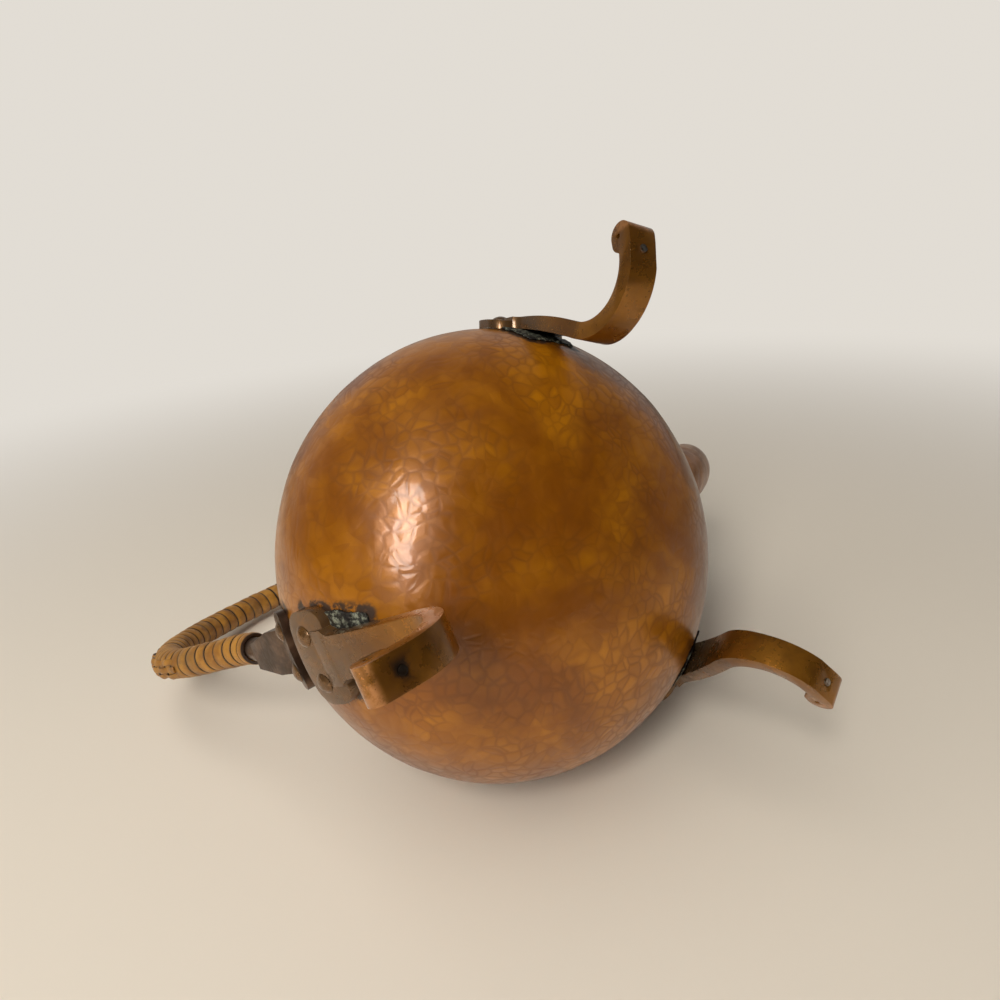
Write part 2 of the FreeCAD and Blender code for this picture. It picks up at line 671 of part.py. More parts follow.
# The spout: a loft through circles that turn upwards along an arc, its lip cut on a slant.

spout_steps = 5


def spout_point(angle):
    """Moves to the place on the spout's line that has turned upwards by an angle."""
    return (spin(about_z, "spout_bearing"),
            shift(f"spout_start + spout_bend * sin({angle})", 0,
                  f"equator_height + spout_height + spout_bend * (1 - cos({angle}))"))


def spout_rings(name, shrink):
    """Circles square to the spout's line, from its root to its lip."""
    rings = []
    for step in range(spout_steps + 1):
        share = step / spout_steps
        angle = f"(spout_rise * {share})"
        ring = primitive("Circle", f"{name}_ring_{step}", (
            *spout_point(angle), spin(about_y, f"90 - {angle}")),
            Radius=f"spout_lip + (spout_root - spout_lip) * {(1 - share) ** 1.5} - {shrink}")
        rings.append(ring)
    loft = doc.addObject("Part::Loft", name)
    loft.Sections = rings
    loft.Solid = True
    return loft


spout_horn = spout_rings("spout_horn", "0")
spout_bore = spout_rings("spout_bore", "spout_wall")
lip_cutter = primitive("Cylinder", "lip_cutter", (
    *spout_point("spout_rise"), spin(about_y, "90 - spout_rise - lip_slant"),
    shift(0, 0, "-lip_setback")),
    Radius="3 * spout_lip", Height="3 * spout_lip")
node("spout", cut("spout", spout_horn, fuse("spout_cutters", spout_bore, lip_cutter, ball_outside)))
spout_ring = primitive("Cone", "spout_ring", (
    spin(about_z, "spout_bearing"),
    shift("body_radius - 2 * spout_solder_size", 0, "equator_height + spout_height + 1"),
    spin(about_y, 90)),
    Radius1="spout_root + 1.5 * spout_solder_size", Radius2="spout_root - 2 * spout_solder_size",
    Height="3.5 * spout_solder_size")
node("spout_solder", cut("spout_solder", spout_ring,
                         fuse("spout_solder_bed", spout_horn, ball_outside)))


# The shell of the ball and the collar in its mouth.

mouth_z = shoulder_z(collar_outside)
rim_z = f"({mouth_z} + collar_height)"
mouth_cutter = primitive("Cylinder", "mouth_cutter", [shift(0, 0, "equator_height")],
                         Radius=f"{collar_outside} + solder_gap", Height="shoulder_height")
foot_r = f"({collar_outside} + collar_foot)"
neck_collar = turned("collar_turning", [
    ("mouth_radius", f"{mouth_z} - collar_tail"),
    (collar_outside, f"{mouth_z} - collar_tail"),
    (collar_outside, f"{mouth_z} - wall / 2"),
    (foot_r, f"{shoulder_z(foot_r)} - wall / 2", "collar_cove + collar_foot", -1),
    (collar_outside, f"{mouth_z} + collar_cove"),
    (collar_outside, f"{rim_z} - 2 * rim_bead", "rim_bead", 1),
    (f"{collar_outside} + rim_bead", f"{rim_z} - rim_bead", "rim_bead", 1),
    (collar_outside, rim_z),
    ("mouth_radius", rim_z),
])


# The lid, with the bezel that drops into the collar.

lid_bottom = f"({rim_z} + lid_gap)"
crown_r = "(lid_radius - lid_flange)"
crown_radius = f"(({crown_r} ^ 2 + lid_crown ^ 2) / (2 * lid_crown))"
crown_centre = f"({lid_bottom} + lid_wall + lid_crown - {crown_radius})"


def crown_z(r, drop="0"):
    return f"({crown_centre} + sqrt(({crown_radius} - {drop}) ^ 2 - ({r}) ^ 2))"


screw_hole = "(screw_radius + screw_gap)"
inner_crown_r = f"sqrt(({crown_radius} - lid_wall) ^ 2 - ({lid_bottom} - {crown_centre}) ^ 2)"
lid_dome = turned("lid_turning", [
    ("lid_radius", lid_bottom),
    ("lid_radius", f"{lid_bottom} + lid_wall"),
    (crown_r, f"{lid_bottom} + lid_wall", crown_radius, 1),
    (screw_hole, crown_z(screw_hole)),
    (screw_hole, crown_z(screw_hole, "lid_wall"), f"{crown_radius} - lid_wall", -1),
    (inner_crown_r, lid_bottom),
])
bezel_outside = "(mouth_radius - bezel_clearance)"
node("lid_bezel", turned("lid_bezel", [
    (f"{bezel_outside} - bezel_wall", f"{lid_bottom} - bezel_depth"),
    (f"{bezel_outside} - bezel_wall / 2", f"{lid_bottom} - bezel_depth"),
    (bezel_outside, f"{lid_bottom} - bezel_depth + bezel_wall"),
    (bezel_outside, lid_bottom),
    (f"{bezel_outside} - bezel_wall", lid_bottom),
]))

# The knob: a copper ferrule, the turned wood, and a screw with its washer from below.
apex_z = crown_z("0")
ferrule = turned("ferrule_turning", [
    (screw_hole, f"{apex_z} - lid_wall / 2"),
    ("ferrule_radius", f"{crown_z('ferrule_radius')} - lid_wall / 2"),
    ("ferrule_radius", f"{apex_z} + ferrule_height / 3", "ferrule_height * 2", 1),
    ("ferrule_top", f"{apex_z} + ferrule_height"),
    (screw_hole, f"{apex_z} + ferrule_height"),
])
knob_z = f"({apex_z} + ferrule_height)"
node("lid_knob", turned("lid_knob", [
    (screw_hole, knob_z),
    ("knob_foot", knob_z),
    ("knob_foot", f"{knob_z} + 1.2", "knob_waist_height", -1),
    ("knob_waist", f"{knob_z} + knob_waist_height", "knob_radius", -1),
    ("knob_radius", f"{knob_z} + knob_belly", "knob_radius", 1),
    ("knob_waist", f"{knob_z} + knob_height - 0.8", "(knob_waist ^ 2 + 0.64) / 1.6", 1),
    ("0", f"{knob_z} + knob_height"),
    ("0", f"{knob_z} + screw_depth"),
    (screw_hole, f"{knob_z} + screw_depth"),
]))
washer_z = f"({crown_z('washer_radius', 'lid_wall')} - rivet_gap - washer_thickness)"
node("knob_washer", turned("knob_washer", [
    (screw_hole, washer_z),
    ("washer_radius", washer_z),
    ("washer_radius", f"{washer_z} + washer_thickness"),
    (screw_hole, f"{washer_z} + washer_thickness"),
]))
screw_head_z = f"({washer_z} - screw_head_height)"
screw_form = turned("screw_turning", [
    ("0", screw_head_z),
    ("screw_head - 0.6", screw_head_z, "screw_head_height", 1),
    ("screw_head", washer_z),
    ("screw_radius", washer_z),
    ("screw_radius", f"{knob_z} + screw_depth - 1.6"),
    ("0", f"{knob_z} + screw_depth - rivet_gap"),
])
screw_slot = primitive("Box", "screw_slot", (
    shift("-screw_head", "-screw_slot / 2", f"{screw_head_z} - screw_slot"),),
    Length="2 * screw_head", Width="screw_slot", Height="2 * screw_slot")
node("knob_screw", cut("knob_screw", screw_form, screw_slot))
node("knob_ferrule", cut("knob_ferrule", ferrule, lid_dome))


# The hinge behind the lid: a leaf on the shoulder, a leaf on the lid and a headed pin.

hinge_reach = "(lid_radius + hinge_standoff)"
barrel_x, barrel_z = f"-{hinge_reach}", f"({rim_z} + hinge_rise)"
barrel_moves = (shift(barrel_x, 0, barrel_z), spin(about_x, 90))


def on_barrel(name, radius, length, start):
    """A round bar along the hinge's axis, starting that far from its middle."""
    return primitive("Cylinder", name, (*barrel_moves, shift(0, 0, start)), Radius=radius,
                     Height=length)


half_barrel, half_knuckle = "barrel_length / 2", "knuckle_length / 2"
outer_knuckle = f"{half_barrel} - {half_knuckle} - knuckle_gap"
leaf_surface = ball("leaf_surface", "leaf_thickness")
leaf_back = f"-({hinge_reach} + barrel_radius)"
leaf_low = shoulder_z(hinge_reach)
leaf_web = slab("leaf_web", [
    (leaf_back, barrel_z),
    (leaf_back, f"{leaf_low} - leaf_foot / 2"),
    (f"{leaf_back} + leaf_thickness", f"{leaf_low} - leaf_foot / 2"),
    (f"{leaf_back} + leaf_thickness", barrel_z),
], "XZ_Plane", "barrel_length")
leaf_pad = common("leaf_pad", leaf_surface, primitive(
    "Box", "leaf_pad_box", (
        shift(f"{leaf_back} - leaf_foot", "-leaf_width / 2", "equator_height"),),
    Length="leaf_foot + leaf_thickness", Width="leaf_width", Height="shoulder_height"))
leaf_seat, leaf_angle = upper_seat(f"({hinge_reach} + leaf_rivet_out)")
leaf_holes = rivet_pair("hinge_body_rivets", leaf_seat, "180", leaf_angle,
                        "leaf_rivet_spacing", "leaf_thickness", head="small_head",
                        shank="small_shank", dome="small_dome", burr="small_head")
leaf_knuckles = [on_barrel("leaf_knuckle_a", "barrel_radius", outer_knuckle, f"-{half_barrel}"),
                 on_barrel("leaf_knuckle_b", "barrel_radius", outer_knuckle,
                           f"{half_knuckle} + knuckle_gap")]
knuckle_room = on_barrel("knuckle_room", "barrel_radius + 2 * knuckle_gap",
                         "knuckle_length + 2 * knuckle_gap", f"-{half_knuckle} - knuckle_gap")
leaf_pin_hole = on_barrel("leaf_pin_hole", "pin_radius + rivet_gap / 2", "2 * barrel_length",
                          "-barrel_length")
node("hinge_body_leaf", cut("hinge_body_leaf", fuse("leaf_blank", leaf_web, leaf_pad, *leaf_knuckles),
                            fuse("leaf_cutters", ball_outside, knuckle_room, leaf_pin_hole, *leaf_holes)))
node("hinge_pin", fuse(
    "hinge_pin", on_barrel("pin_shank", "pin_radius", "barrel_length + pin_head_height",
                           f"-{half_barrel}"),
    on_barrel("pin_head", "pin_head", "pin_head_height", f"{half_barrel} + rivet_gap")))
node("neck_collar", cut("neck_collar", neck_collar, fuse(
    "collar_seat", cut("collar_wall_seat", ball_outside, mouth_cutter), sub_parts["hinge_body_leaf"])))

# The lid's leaf follows the crown and ends in the middle knuckle.
crown_over = turned("crown_over", [
    ("0", crown_z("0", "(-leaf_thickness)")),
    ("0", lid_bottom),
    ("lid_radius", lid_bottom),
    ("lid_radius", f"{lid_bottom} + lid_wall + leaf_thickness"),
    (f"{crown_r} + leaf_thickness / 2", f"{lid_bottom} + lid_wall + leaf_thickness"),
    (crown_r, crown_z(crown_r, "(-leaf_thickness)"), f"{crown_radius} + leaf_thickness", 1),
])
lid_form = turned("lid_form", [
    ("0", crown_z("0")),
    ("0", f"{lid_bottom} - leaf_thickness"),
    ("lid_radius + rivet_gap", f"{lid_bottom} - leaf_thickness"),
    ("lid_radius + rivet_gap", f"{lid_bottom} + lid_wall"),
    (crown_r, f"{lid_bottom} + lid_wall", crown_radius, 1),
])
lid_leaf_plan = slab("lid_leaf_plan", [
    ("-lid_radius", "-lid_leaf_width / 2"),
    ("-lid_radius", "lid_leaf_width / 2"),
    ("-lid_leaf_reach - lid_leaf_width / 4", "lid_leaf_width / 2", "lid_leaf_width / 3", -1),
    ("-lid_leaf_reach", "lid_leaf_width / 4"),
    ("-lid_leaf_reach", "-lid_leaf_width / 4", "lid_leaf_width / 3", -1),
    ("-lid_leaf_reach - lid_leaf_width / 4", "-lid_leaf_width / 2"),
], "XY_Plane", "2 * (equator_height + body_radius + shoulder_height)")
lid_tongue = slab("lid_tongue", [
    (barrel_x, barrel_z),
    (barrel_x, f"{barrel_z} + barrel_radius"),
    ("-lid_radius + lid_wall", f"{lid_bottom} + lid_wall + leaf_thickness"),
    ("-lid_radius + lid_wall", f"{lid_bottom} + lid_wall"),
    ("-lid_radius - rivet_gap", f"{lid_bottom}"),
], "XZ_Plane", "knuckle_length")
lid_knuckle = on_barrel("lid_knuckle", "barrel_radius", "knuckle_length", f"-{half_knuckle}")
lid_pin_hole = on_barrel("lid_pin_hole", "pin_radius + pin_running_gap", "2 * knuckle_length",
                         "-knuckle_length")
lid_rivets, lid_holes = [], []
for side, hand in ((1, "a"), (-1, "b")):
    turn = arcsine(f"lid_rivet_spacing / 2 / ({crown_radius} * sin(lid_rivet_angle))")
    moves = (shift(0, 0, crown_centre), spin(about_z, f"180 + {side} * {turn}"),
             spin(about_y, "lid_rivet_angle - 90"))
    lid_rivets.append(rivet(f"hinge_lid_rivets_{hand}", moves, f"({crown_radius} - lid_wall)",
                            f"({crown_radius} + leaf_thickness)", "small_head", "small_shank",
                            "small_dome", "small_head"))
    lid_holes.append(rivet_hole(f"hinge_lid_hole_{hand}", moves, f"{crown_radius} - 2 * lid_wall",
                                "4 * lid_wall + leaf_thickness", "small_shank"))
node("hinge_lid_rivets", group("hinge_lid_rivets", *lid_rivets))
node("hinge_lid_leaf", cut("hinge_lid_leaf", fuse(
    "lid_leaf_blank", common("lid_leaf_plate", crown_over, lid_leaf_plan), lid_tongue, lid_knuckle),
    fuse("lid_leaf_cutters", lid_form, lid_pin_hole, *lid_holes)))
node("lid_dome", cut("lid_dome", lid_dome, fuse("lid_dome_cutters", *lid_holes)))

node("body_shell", cut("body_shell", ball_outside, fuse(
    "shell_cutters", ball_inside, mouth_cutter, spout_bore, *wall_holes)))

doc.recompute()
failed = [item.Label for item in doc.Objects if {"Invalid", "Error"} & set(item.State)]
for name, item in sub_parts.items():
    if item.Shape.isNull() or not item.Shape.isValid():
        failed.append(name)
if failed:
    raise RuntimeError("not built: " + ", ".join(failed))

os.makedirs("parts", exist_ok=True)
for name, item in sub_parts.items():
    item.Shape.exportStep(f"parts/{name}.step")
    print(f"{name}: {len(item.Shape.Solids)} solids, {item.Shape.Volume:.1f} mm3")
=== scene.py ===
import bpy
import json
import math
import random
from mathutils import Matrix, Vector, kdtree, noise

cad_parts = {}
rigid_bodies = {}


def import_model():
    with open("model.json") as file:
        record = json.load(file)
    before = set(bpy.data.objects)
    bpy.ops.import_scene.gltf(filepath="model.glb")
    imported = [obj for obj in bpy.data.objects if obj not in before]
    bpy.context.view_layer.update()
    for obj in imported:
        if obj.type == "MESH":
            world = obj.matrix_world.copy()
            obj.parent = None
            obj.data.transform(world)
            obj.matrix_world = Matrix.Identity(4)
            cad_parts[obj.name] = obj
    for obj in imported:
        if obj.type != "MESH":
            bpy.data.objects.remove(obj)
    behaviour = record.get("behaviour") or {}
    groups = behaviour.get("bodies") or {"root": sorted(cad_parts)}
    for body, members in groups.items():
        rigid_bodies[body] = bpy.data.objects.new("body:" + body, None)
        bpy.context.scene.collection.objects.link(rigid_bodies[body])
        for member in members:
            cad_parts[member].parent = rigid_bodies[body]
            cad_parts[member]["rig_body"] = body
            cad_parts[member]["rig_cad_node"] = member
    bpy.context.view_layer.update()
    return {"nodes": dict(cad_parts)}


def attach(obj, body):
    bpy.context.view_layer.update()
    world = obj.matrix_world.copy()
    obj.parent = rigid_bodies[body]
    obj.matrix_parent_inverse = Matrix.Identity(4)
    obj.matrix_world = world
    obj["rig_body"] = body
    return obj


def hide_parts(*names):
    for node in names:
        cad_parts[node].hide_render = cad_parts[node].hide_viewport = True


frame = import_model()
nodes = frame["nodes"]
bpy.ops.object.select_all(action="DESELECT")
print("frame loaded:", len(nodes), "nodes")

# camera, as the photograph was taken: from below and behind the feet

camera = {
    "place": (-0.14341, -0.04206, -0.16282),
    "right": (0.78124, 0.36357, -0.50743), "up": (0.35165, -0.92796, -0.12346),
    "back": (-0.51576, -0.08198, -0.8528), "lens": 27.04,
}


def makeCamera():
    bpy.ops.object.camera_add()
    eye = bpy.context.object
    axes = Matrix([Vector(camera[side]).normalized() for side in ("right", "up", "back")]).transposed()
    eye.matrix_world = Matrix.Translation(camera["place"]) @ axes.to_4x4()
    eye.data.lens = camera["lens"]
    eye.data.sensor_width = 36
    eye.data.clip_start = 0.01
    bpy.context.scene.camera = eye


# material helpers

def newMaterial(name):
    material = bpy.data.materials.new(name)
    material.use_nodes = True
    tree = material.node_tree
    tree.nodes.clear()
    return material, tree


def addNode(tree, kind, settings=None, **inputs):
    item = tree.nodes.new(kind)
    for key, setting in (settings or {}).items():
        setattr(item, key, setting)
    for key, source in inputs.items():
        socket = item.inputs[int(key[1:])] if key[0] == "i" and key[1:].isdigit() else item.inputs[key.replace("_", " ")]
        if isinstance(source, bpy.types.NodeSocket):
            tree.links.new(source, socket)
        else:
            socket.default_value = source
    return item


def mathNode(tree, operation, *terms):
    item = addNode(tree, "ShaderNodeMath", {"operation": operation},
                   **{f"i{n}": term for n, term in enumerate(terms)})
    return item.outputs[0]


def vectorNode(tree, operation, *terms, scale=None):
    inputs = {f"i{n}": term for n, term in enumerate(terms)}
    if scale is not None:
        inputs["Scale"] = scale
    item = addNode(tree, "ShaderNodeVectorMath", {"operation": operation}, **inputs)
    return item.outputs["Value"] if operation in ("LENGTH", "DISTANCE", "DOT_PRODUCT") else item.outputs[0]


def mixColour(tree, factor, first, second, blend="MIX"):
    item = addNode(tree, "ShaderNodeMix", {"data_type": "RGBA", "blend_type": blend})
    for index, source in ((0, factor), (6, first), (7, second)):
        if isinstance(source, bpy.types.NodeSocket):
            tree.links.new(source, item.inputs[index])
        else:
            item.inputs[index].default_value = source
    return item.outputs[2]


def rangeNode(tree, amount, low, high, outLow=0.0, outHigh=1.0, smooth=True):
    item = addNode(tree, "ShaderNodeMapRange", {"interpolation_type": "SMOOTHSTEP" if smooth else "LINEAR"},
                   Value=amount, From_Min=low, From_Max=high, To_Min=outLow, To_Max=outHigh)
    return item.outputs[0]


def noiseNode(tree, place, scale, detail=3.0, roughness=0.55, distortion=0.0):
    item = addNode(tree, "ShaderNodeTexNoise", Vector=place, Scale=scale, Detail=detail,
                   Roughness=roughness, Distortion=distortion)
    return item.outputs["Fac"]


def newGroup(name, ins, outs):
    group = bpy.data.node_groups.new(name, "ShaderNodeTree")
    for label, kind, start in ins:
        socket = group.interface.new_socket(label, in_out="INPUT", socket_type=f"NodeSocket{kind}")
        socket.default_value = start
    for label, kind in outs:
        group.interface.new_socket(label, in_out="OUTPUT", socket_type=f"NodeSocket{kind}")
    return group, group.nodes.new("NodeGroupInput"), group.nodes.new("NodeGroupOutput")


def useGroup(tree, group, **inputs):
    item = tree.nodes.new("ShaderNodeGroup")
    item.node_tree = group
    for key, source in inputs.items():
        socket = item.inputs[key.replace("_", " ")]
        if isinstance(source, bpy.types.NodeSocket):
            tree.links.new(source, socket)
        else:
            socket.default_value = source
    return item


def makeHammerGroup():
    group, start, end = newGroup("hammerMarks", (
        ("Scale", "Float", 270.0), ("Tilt", "Float", 0.05), ("Depth", "Float", 0.00006),
        ("Line", "Float", 0.20)),
        (("Normal", "Vector"), ("FacetShade", "Float"), ("Cell", "Float")))
    place = addNode(group, "ShaderNodeTexCoord").outputs["Object"]
    drift = addNode(group, "ShaderNodeTexNoise", Vector=place, Scale=60.0, Detail=1.0).outputs["Color"]
    drift = vectorNode(group, "SCALE", vectorNode(group, "SUBTRACT", drift, (0.5, 0.5, 0.5)), scale=0.012)
    place = vectorNode(group, "ADD", place, drift)
    marks = addNode(group, "ShaderNodeTexVoronoi", {"feature": "F1"}, Vector=place,
                    Scale=start.outputs["Scale"], Randomness=0.9)
    border = addNode(group, "ShaderNodeTexVoronoi", {"feature": "DISTANCE_TO_EDGE"}, Vector=place,
                     Scale=start.outputs["Scale"], Randomness=0.9)
    lean = vectorNode(group, "SUBTRACT", marks.outputs["Color"], (0.5, 0.5, 0.5))
    lean = addNode(group, "ShaderNodeVectorMath", {"operation": "SCALE"}, i0=lean,
                   Scale=start.outputs["Tilt"]).outputs[0]
    upright = addNode(group, "ShaderNodeNewGeometry").outputs["Normal"]
    leant = vectorNode(group, "NORMALIZE", vectorNode(group, "ADD", upright, lean))
    edge = border.outputs["Distance"]
    height = mathNode(group, "ADD", rangeNode(group, edge, 0.0, 0.3, 0.0, 0.7),
                      mathNode(group, "MULTIPLY", mathNode(group, "POWER", marks.outputs["Distance"], 2.0), 0.3))
    bump = addNode(group, "ShaderNodeBump", Height=height, Distance=start.outputs["Depth"], Normal=leant)
    # painted shade: colour darkens in the grooves between the hammer facets and towards each facet's corners
    facetShade = rangeNode(group, edge, 0.0, start.outputs["Line"], 1.0, 0.0)
    facetShade = mathNode(group, "MAXIMUM", facetShade, rangeNode(group, marks.outputs["Distance"], 0.50, 0.85, 0.0, 0.8))
    group.links.new(bump.outputs[0], end.inputs["Normal"])
    group.links.new(facetShade, end.inputs["FacetShade"])
    group.links.new(addNode(group, "ShaderNodeSeparateColor", Color=marks.outputs["Color"]).outputs[0],
                    end.inputs["Cell"])
    return group


def makeWearAndGlintGroup():
    group, start, end = newGroup("edgeWearAndGlint", (("Amount", "Float", 1.0), ("Scale", "Float", 300.0)),
                                 (("Mask", "Float"),))
    place = addNode(group, "ShaderNodeTexCoord").outputs["Object"]
    wornAndGlinting = addNode(group, "ShaderNodeAttribute", {"attribute_name": "wearAndGlint"}).outputs["Fac"]
    grain = addNode(group, "ShaderNodeTexNoise", Vector=place, Scale=start.outputs["Scale"], Detail=4.0).outputs["Fac"]
    mask = mathNode(group, "MULTIPLY", wornAndGlinting, rangeNode(group, grain, 0.28, 0.52))
    group.links.new(mathNode(group, "MULTIPLY", mask, start.outputs["Amount"]), end.inputs["Mask"])
    return group


def makePatinaGroup():
    group, start, end = newGroup("patina", (
        ("Bright", "Color", (0.46, 0.17, 0.03, 1)), ("Deep", "Color", (0.2, 0.06, 0.012, 1)),
        ("Scale", "Float", 26.0), ("Speckle", "Float", 0.25)),
        (("Color", "Color"), ("Mottle", "Float")))
    place = addNode(group, "ShaderNodeTexCoord").outputs["Object"]
    broad = addNode(group, "ShaderNodeTexNoise", Vector=place, Scale=start.outputs["Scale"], Detail=4.0,
                    Roughness=0.6, Distortion=0.4).outputs["Fac"]
    mottle = rangeNode(group, broad, 0.36, 0.66)
    colour = mixColour(group, mottle, start.outputs["Deep"], start.outputs["Bright"])
    fine = noiseNode(group, place, 900.0, 3.0, 0.7)
    specks = mathNode(group, "MULTIPLY", rangeNode(group, fine, 0.42, 0.75), start.outputs["Speckle"])
    colour = mixColour(group, specks, colour, start.outputs["Deep"])
    group.links.new(colour, end.inputs["Color"])
    group.links.new(mottle, end.inputs["Mottle"])
    return group


groups = {"hammer": makeHammerGroup(), "wearAndGlint": makeWearAndGlintGroup(), "patina": makePatinaGroup()}


def finishShader(tree, shader):
    out = tree.nodes.new("ShaderNodeOutputMaterial")
    tree.links.new(shader.outputs[0], out.inputs["Surface"])


tipReach = max(vertex.co.xy.length for vertex in nodes["leg_left"].data.vertices)
copperLooks = {
    "body": {"bright": (0.45, 0.162, 0.002, 1), "deep": (0.21, 0.060, 0.001, 1), "scale": 22.0, "metal": 0.22,
             "marks": 225.0, "tilt": 0.024, "depth": 0.00005, "facetShade": 0.38, "cells": 0.50, "rough": (0.28, 0.38),
             "specular": 0.5, "coat": 0.32, "coatRough": 0.10, "speckle": 0.12, "soot": 0.0, "tips": 0.0},
    "strap": {"bright": (0.31, 0.125, 0.012, 1), "deep": (0.15, 0.058, 0.008, 1), "scale": 38.0, "metal": 0.65,
              "marks": 120.0, "tilt": 0.008, "depth": 0.00001, "facetShade": 0.0, "cells": 0.05, "rough": (0.22, 0.38),
              "coat": 0.5, "coatRough": 0.13, "speckle": 0.3, "specular": 0.2,
              "soot": 0.75, "tips": 0.7},
    "trim": {"bright": (0.46, 0.165, 0.012, 1), "deep": (0.22, 0.07, 0.008, 1), "scale": 45.0, "metal": 0.6,
             "marks": 240.0, "tilt": 0.014, "depth": 0.00002, "facetShade": 0.10, "cells": 0.1, "rough": (0.28, 0.42),
             "coat": 0.25, "coatRough": 0.18, "speckle": 0.2, "specular": 0.2, "soot": 0.0, "tips": 0.0},
    "bracket": {"bright": (0.17, 0.10, 0.06, 1), "deep": (0.06, 0.035, 0.022, 1), "scale": 90.0, "metal": 0.7,
                "marks": 300.0, "tilt": 0.015, "depth": 0.00003, "facetShade": 0.1, "cells": 0.1, "rough": (0.30, 0.46),
                "coat": 0.2, "coatRough": 0.2, "speckle": 0.3, "specular": 0.2, "soot": 0.0, "tips": 0.0},
}


def copperMaterial(name, look):
    material, tree = newMaterial(name)
    patina = useGroup(tree, groups["patina"], Bright=look["bright"], Deep=look["deep"], Scale=look["scale"],
                      Speckle=look["speckle"])
    hammer = useGroup(tree, groups["hammer"], Scale=look["marks"], Tilt=look["tilt"], Depth=look["depth"])
    wearAndGlint = useGroup(tree, groups["wearAndGlint"], Amount=0.9)
    place = addNode(tree, "ShaderNodeTexCoord").outputs["Object"]
    fade = rangeNode(tree, noiseNode(tree, place, 35.0, 3.0), 0.35, 0.62)
    # painted shade along the hammer-facet borders: colour is pulled towards a darker copper there
    facetShade = mathNode(tree, "MULTIPLY", mathNode(tree, "MULTIPLY", hammer.outputs["FacetShade"], fade), look["facetShade"])
    colour = mixColour(tree, mathNode(tree, "MULTIPLY", hammer.outputs["Cell"], look["cells"]), patina.outputs["Color"], look["deep"])
    colour = mixColour(tree, facetShade, colour, (look["deep"][0] * 0.6, look["deep"][1] * 0.55, look["deep"][2] * 0.6, 1))
    fromBall = vectorNode(tree, "DIVIDE", vectorNode(tree, "SUBTRACT", place, (0.0, 0.0, 0.086)), (0.085, 0.085, 0.061))
    grain = noiseNode(tree, place, 260.0, 4.0, 0.7)
    soot = rangeNode(tree, vectorNode(tree, "LENGTH", fromBall), 1.05, 1.22, look["soot"], 0.0)
    soot = mathNode(tree, "MULTIPLY", soot, rangeNode(tree, grain, 0.3, 0.6, 0.6, 1.0))
    colour = mixColour(tree, soot, colour, (0.115, 0.075, 0.045, 1))
    outward = vectorNode(tree, "LENGTH", vectorNode(tree, "MULTIPLY", place, (1.0, 1.0, 0.0)))
    tips = rangeNode(tree, outward, tipReach - 0.0042, tipReach - 0.0022, 0.0, look["tips"])
    colour = mixColour(tree, mathNode(tree, "MULTIPLY", tips, rangeNode(tree, grain, 0.35, 0.55)), colour, (0.52, 0.23, 0.08, 1))
    # real edge wear and a painted highlight together: bright copper is mixed in along the bevelled edges
    colour = mixColour(tree, wearAndGlint.outputs["Mask"], colour, (0.72, 0.38, 0.19, 1))
    rough = rangeNode(tree, noiseNode(tree, place, 160.0, 4.0, 0.65), 0.3, 0.7, *look["rough"])
    rough = mathNode(tree, "ADD", rough, mathNode(tree, "MULTIPLY", facetShade, 0.25))
    stain = addNode(tree, "ShaderNodeAttribute", {"attribute_name": "stain"}).outputs["Fac"]
    patches = rangeNode(tree, noiseNode(tree, place, 130.0, 4.0, 0.7), 0.34, 0.58)
    stain = rangeNode(tree, mathNode(tree, "MULTIPLY", stain, patches), 0.12, 0.6, 0.0, 0.92)
    colour = mixColour(tree, stain, colour, (0.018, 0.011, 0.008, 1))
    rough = mathNode(tree, "ADD", rough, mathNode(tree, "MULTIPLY", stain, 0.2))
    shader = addNode(tree, "ShaderNodeBsdfPrincipled", Base_Color=colour, Metallic=look["metal"], Roughness=rough,
                     Normal=hammer.outputs["Normal"])
    shader.inputs["Specular IOR Level"].default_value = look["specular"]
    shader.inputs["Coat Weight"].default_value = look["coat"]
    shader.inputs["Coat Roughness"].default_value = look["coatRough"]
    tree.links.new(hammer.outputs["Normal"], shader.inputs["Coat Normal"])
    finishShader(tree, shader)
    return material


def solderMaterial():
    material, tree = newMaterial("tinSolder")
    place = addNode(tree, "ShaderNodeTexCoord").outputs["Object"]
    grains = rangeNode(tree, noiseNode(tree, place, 620.0, 4.0, 0.7), 0.47, 0.62)
    colour = mixColour(tree, grains, (0.020, 0.018, 0.014, 1), (0.26, 0.27, 0.20, 1))
    colour = mixColour(tree, rangeNode(tree, noiseNode(tree, place, 150.0), 0.46, 0.60), colour, (0.015, 0.012, 0.010, 1))
    bump = addNode(tree, "ShaderNodeBump", Height=noiseNode(tree, place, 700.0, 4.0), Distance=0.0004)
    shader = addNode(tree, "ShaderNodeBsdfPrincipled", Base_Color=colour, Metallic=0.4, Roughness=0.5, Normal=bump.outputs[0])
    finishShader(tree, shader)
    return material


def steelMaterial():
    material, tree = newMaterial("wornSteel")
    place = addNode(tree, "ShaderNodeTexCoord").outputs["Object"]
    stain = rangeNode(tree, noiseNode(tree, place, 600.0, 4.0), 0.45, 0.7)
    colour = mixColour(tree, stain, (0.48, 0.46, 0.43, 1), (0.16, 0.10, 0.06, 1))
    rear = rangeNode(tree, addNode(tree, "ShaderNodeSeparateXYZ", Vector=place).outputs[0], -0.07, -0.06, 0.9, 0.0)
    colour = mixColour(tree, rear, colour, (0.03, 0.016, 0.008, 1))
    bump = addNode(tree, "ShaderNodeBump", Height=noiseNode(tree, place, 1500.0, 3.0), Distance=0.0001)
    shader = addNode(tree, "ShaderNodeBsdfPrincipled", Base_Color=colour, Metallic=1.0, Roughness=0.36, Normal=bump.outputs[0])
    finishShader(tree, shader)
    return material


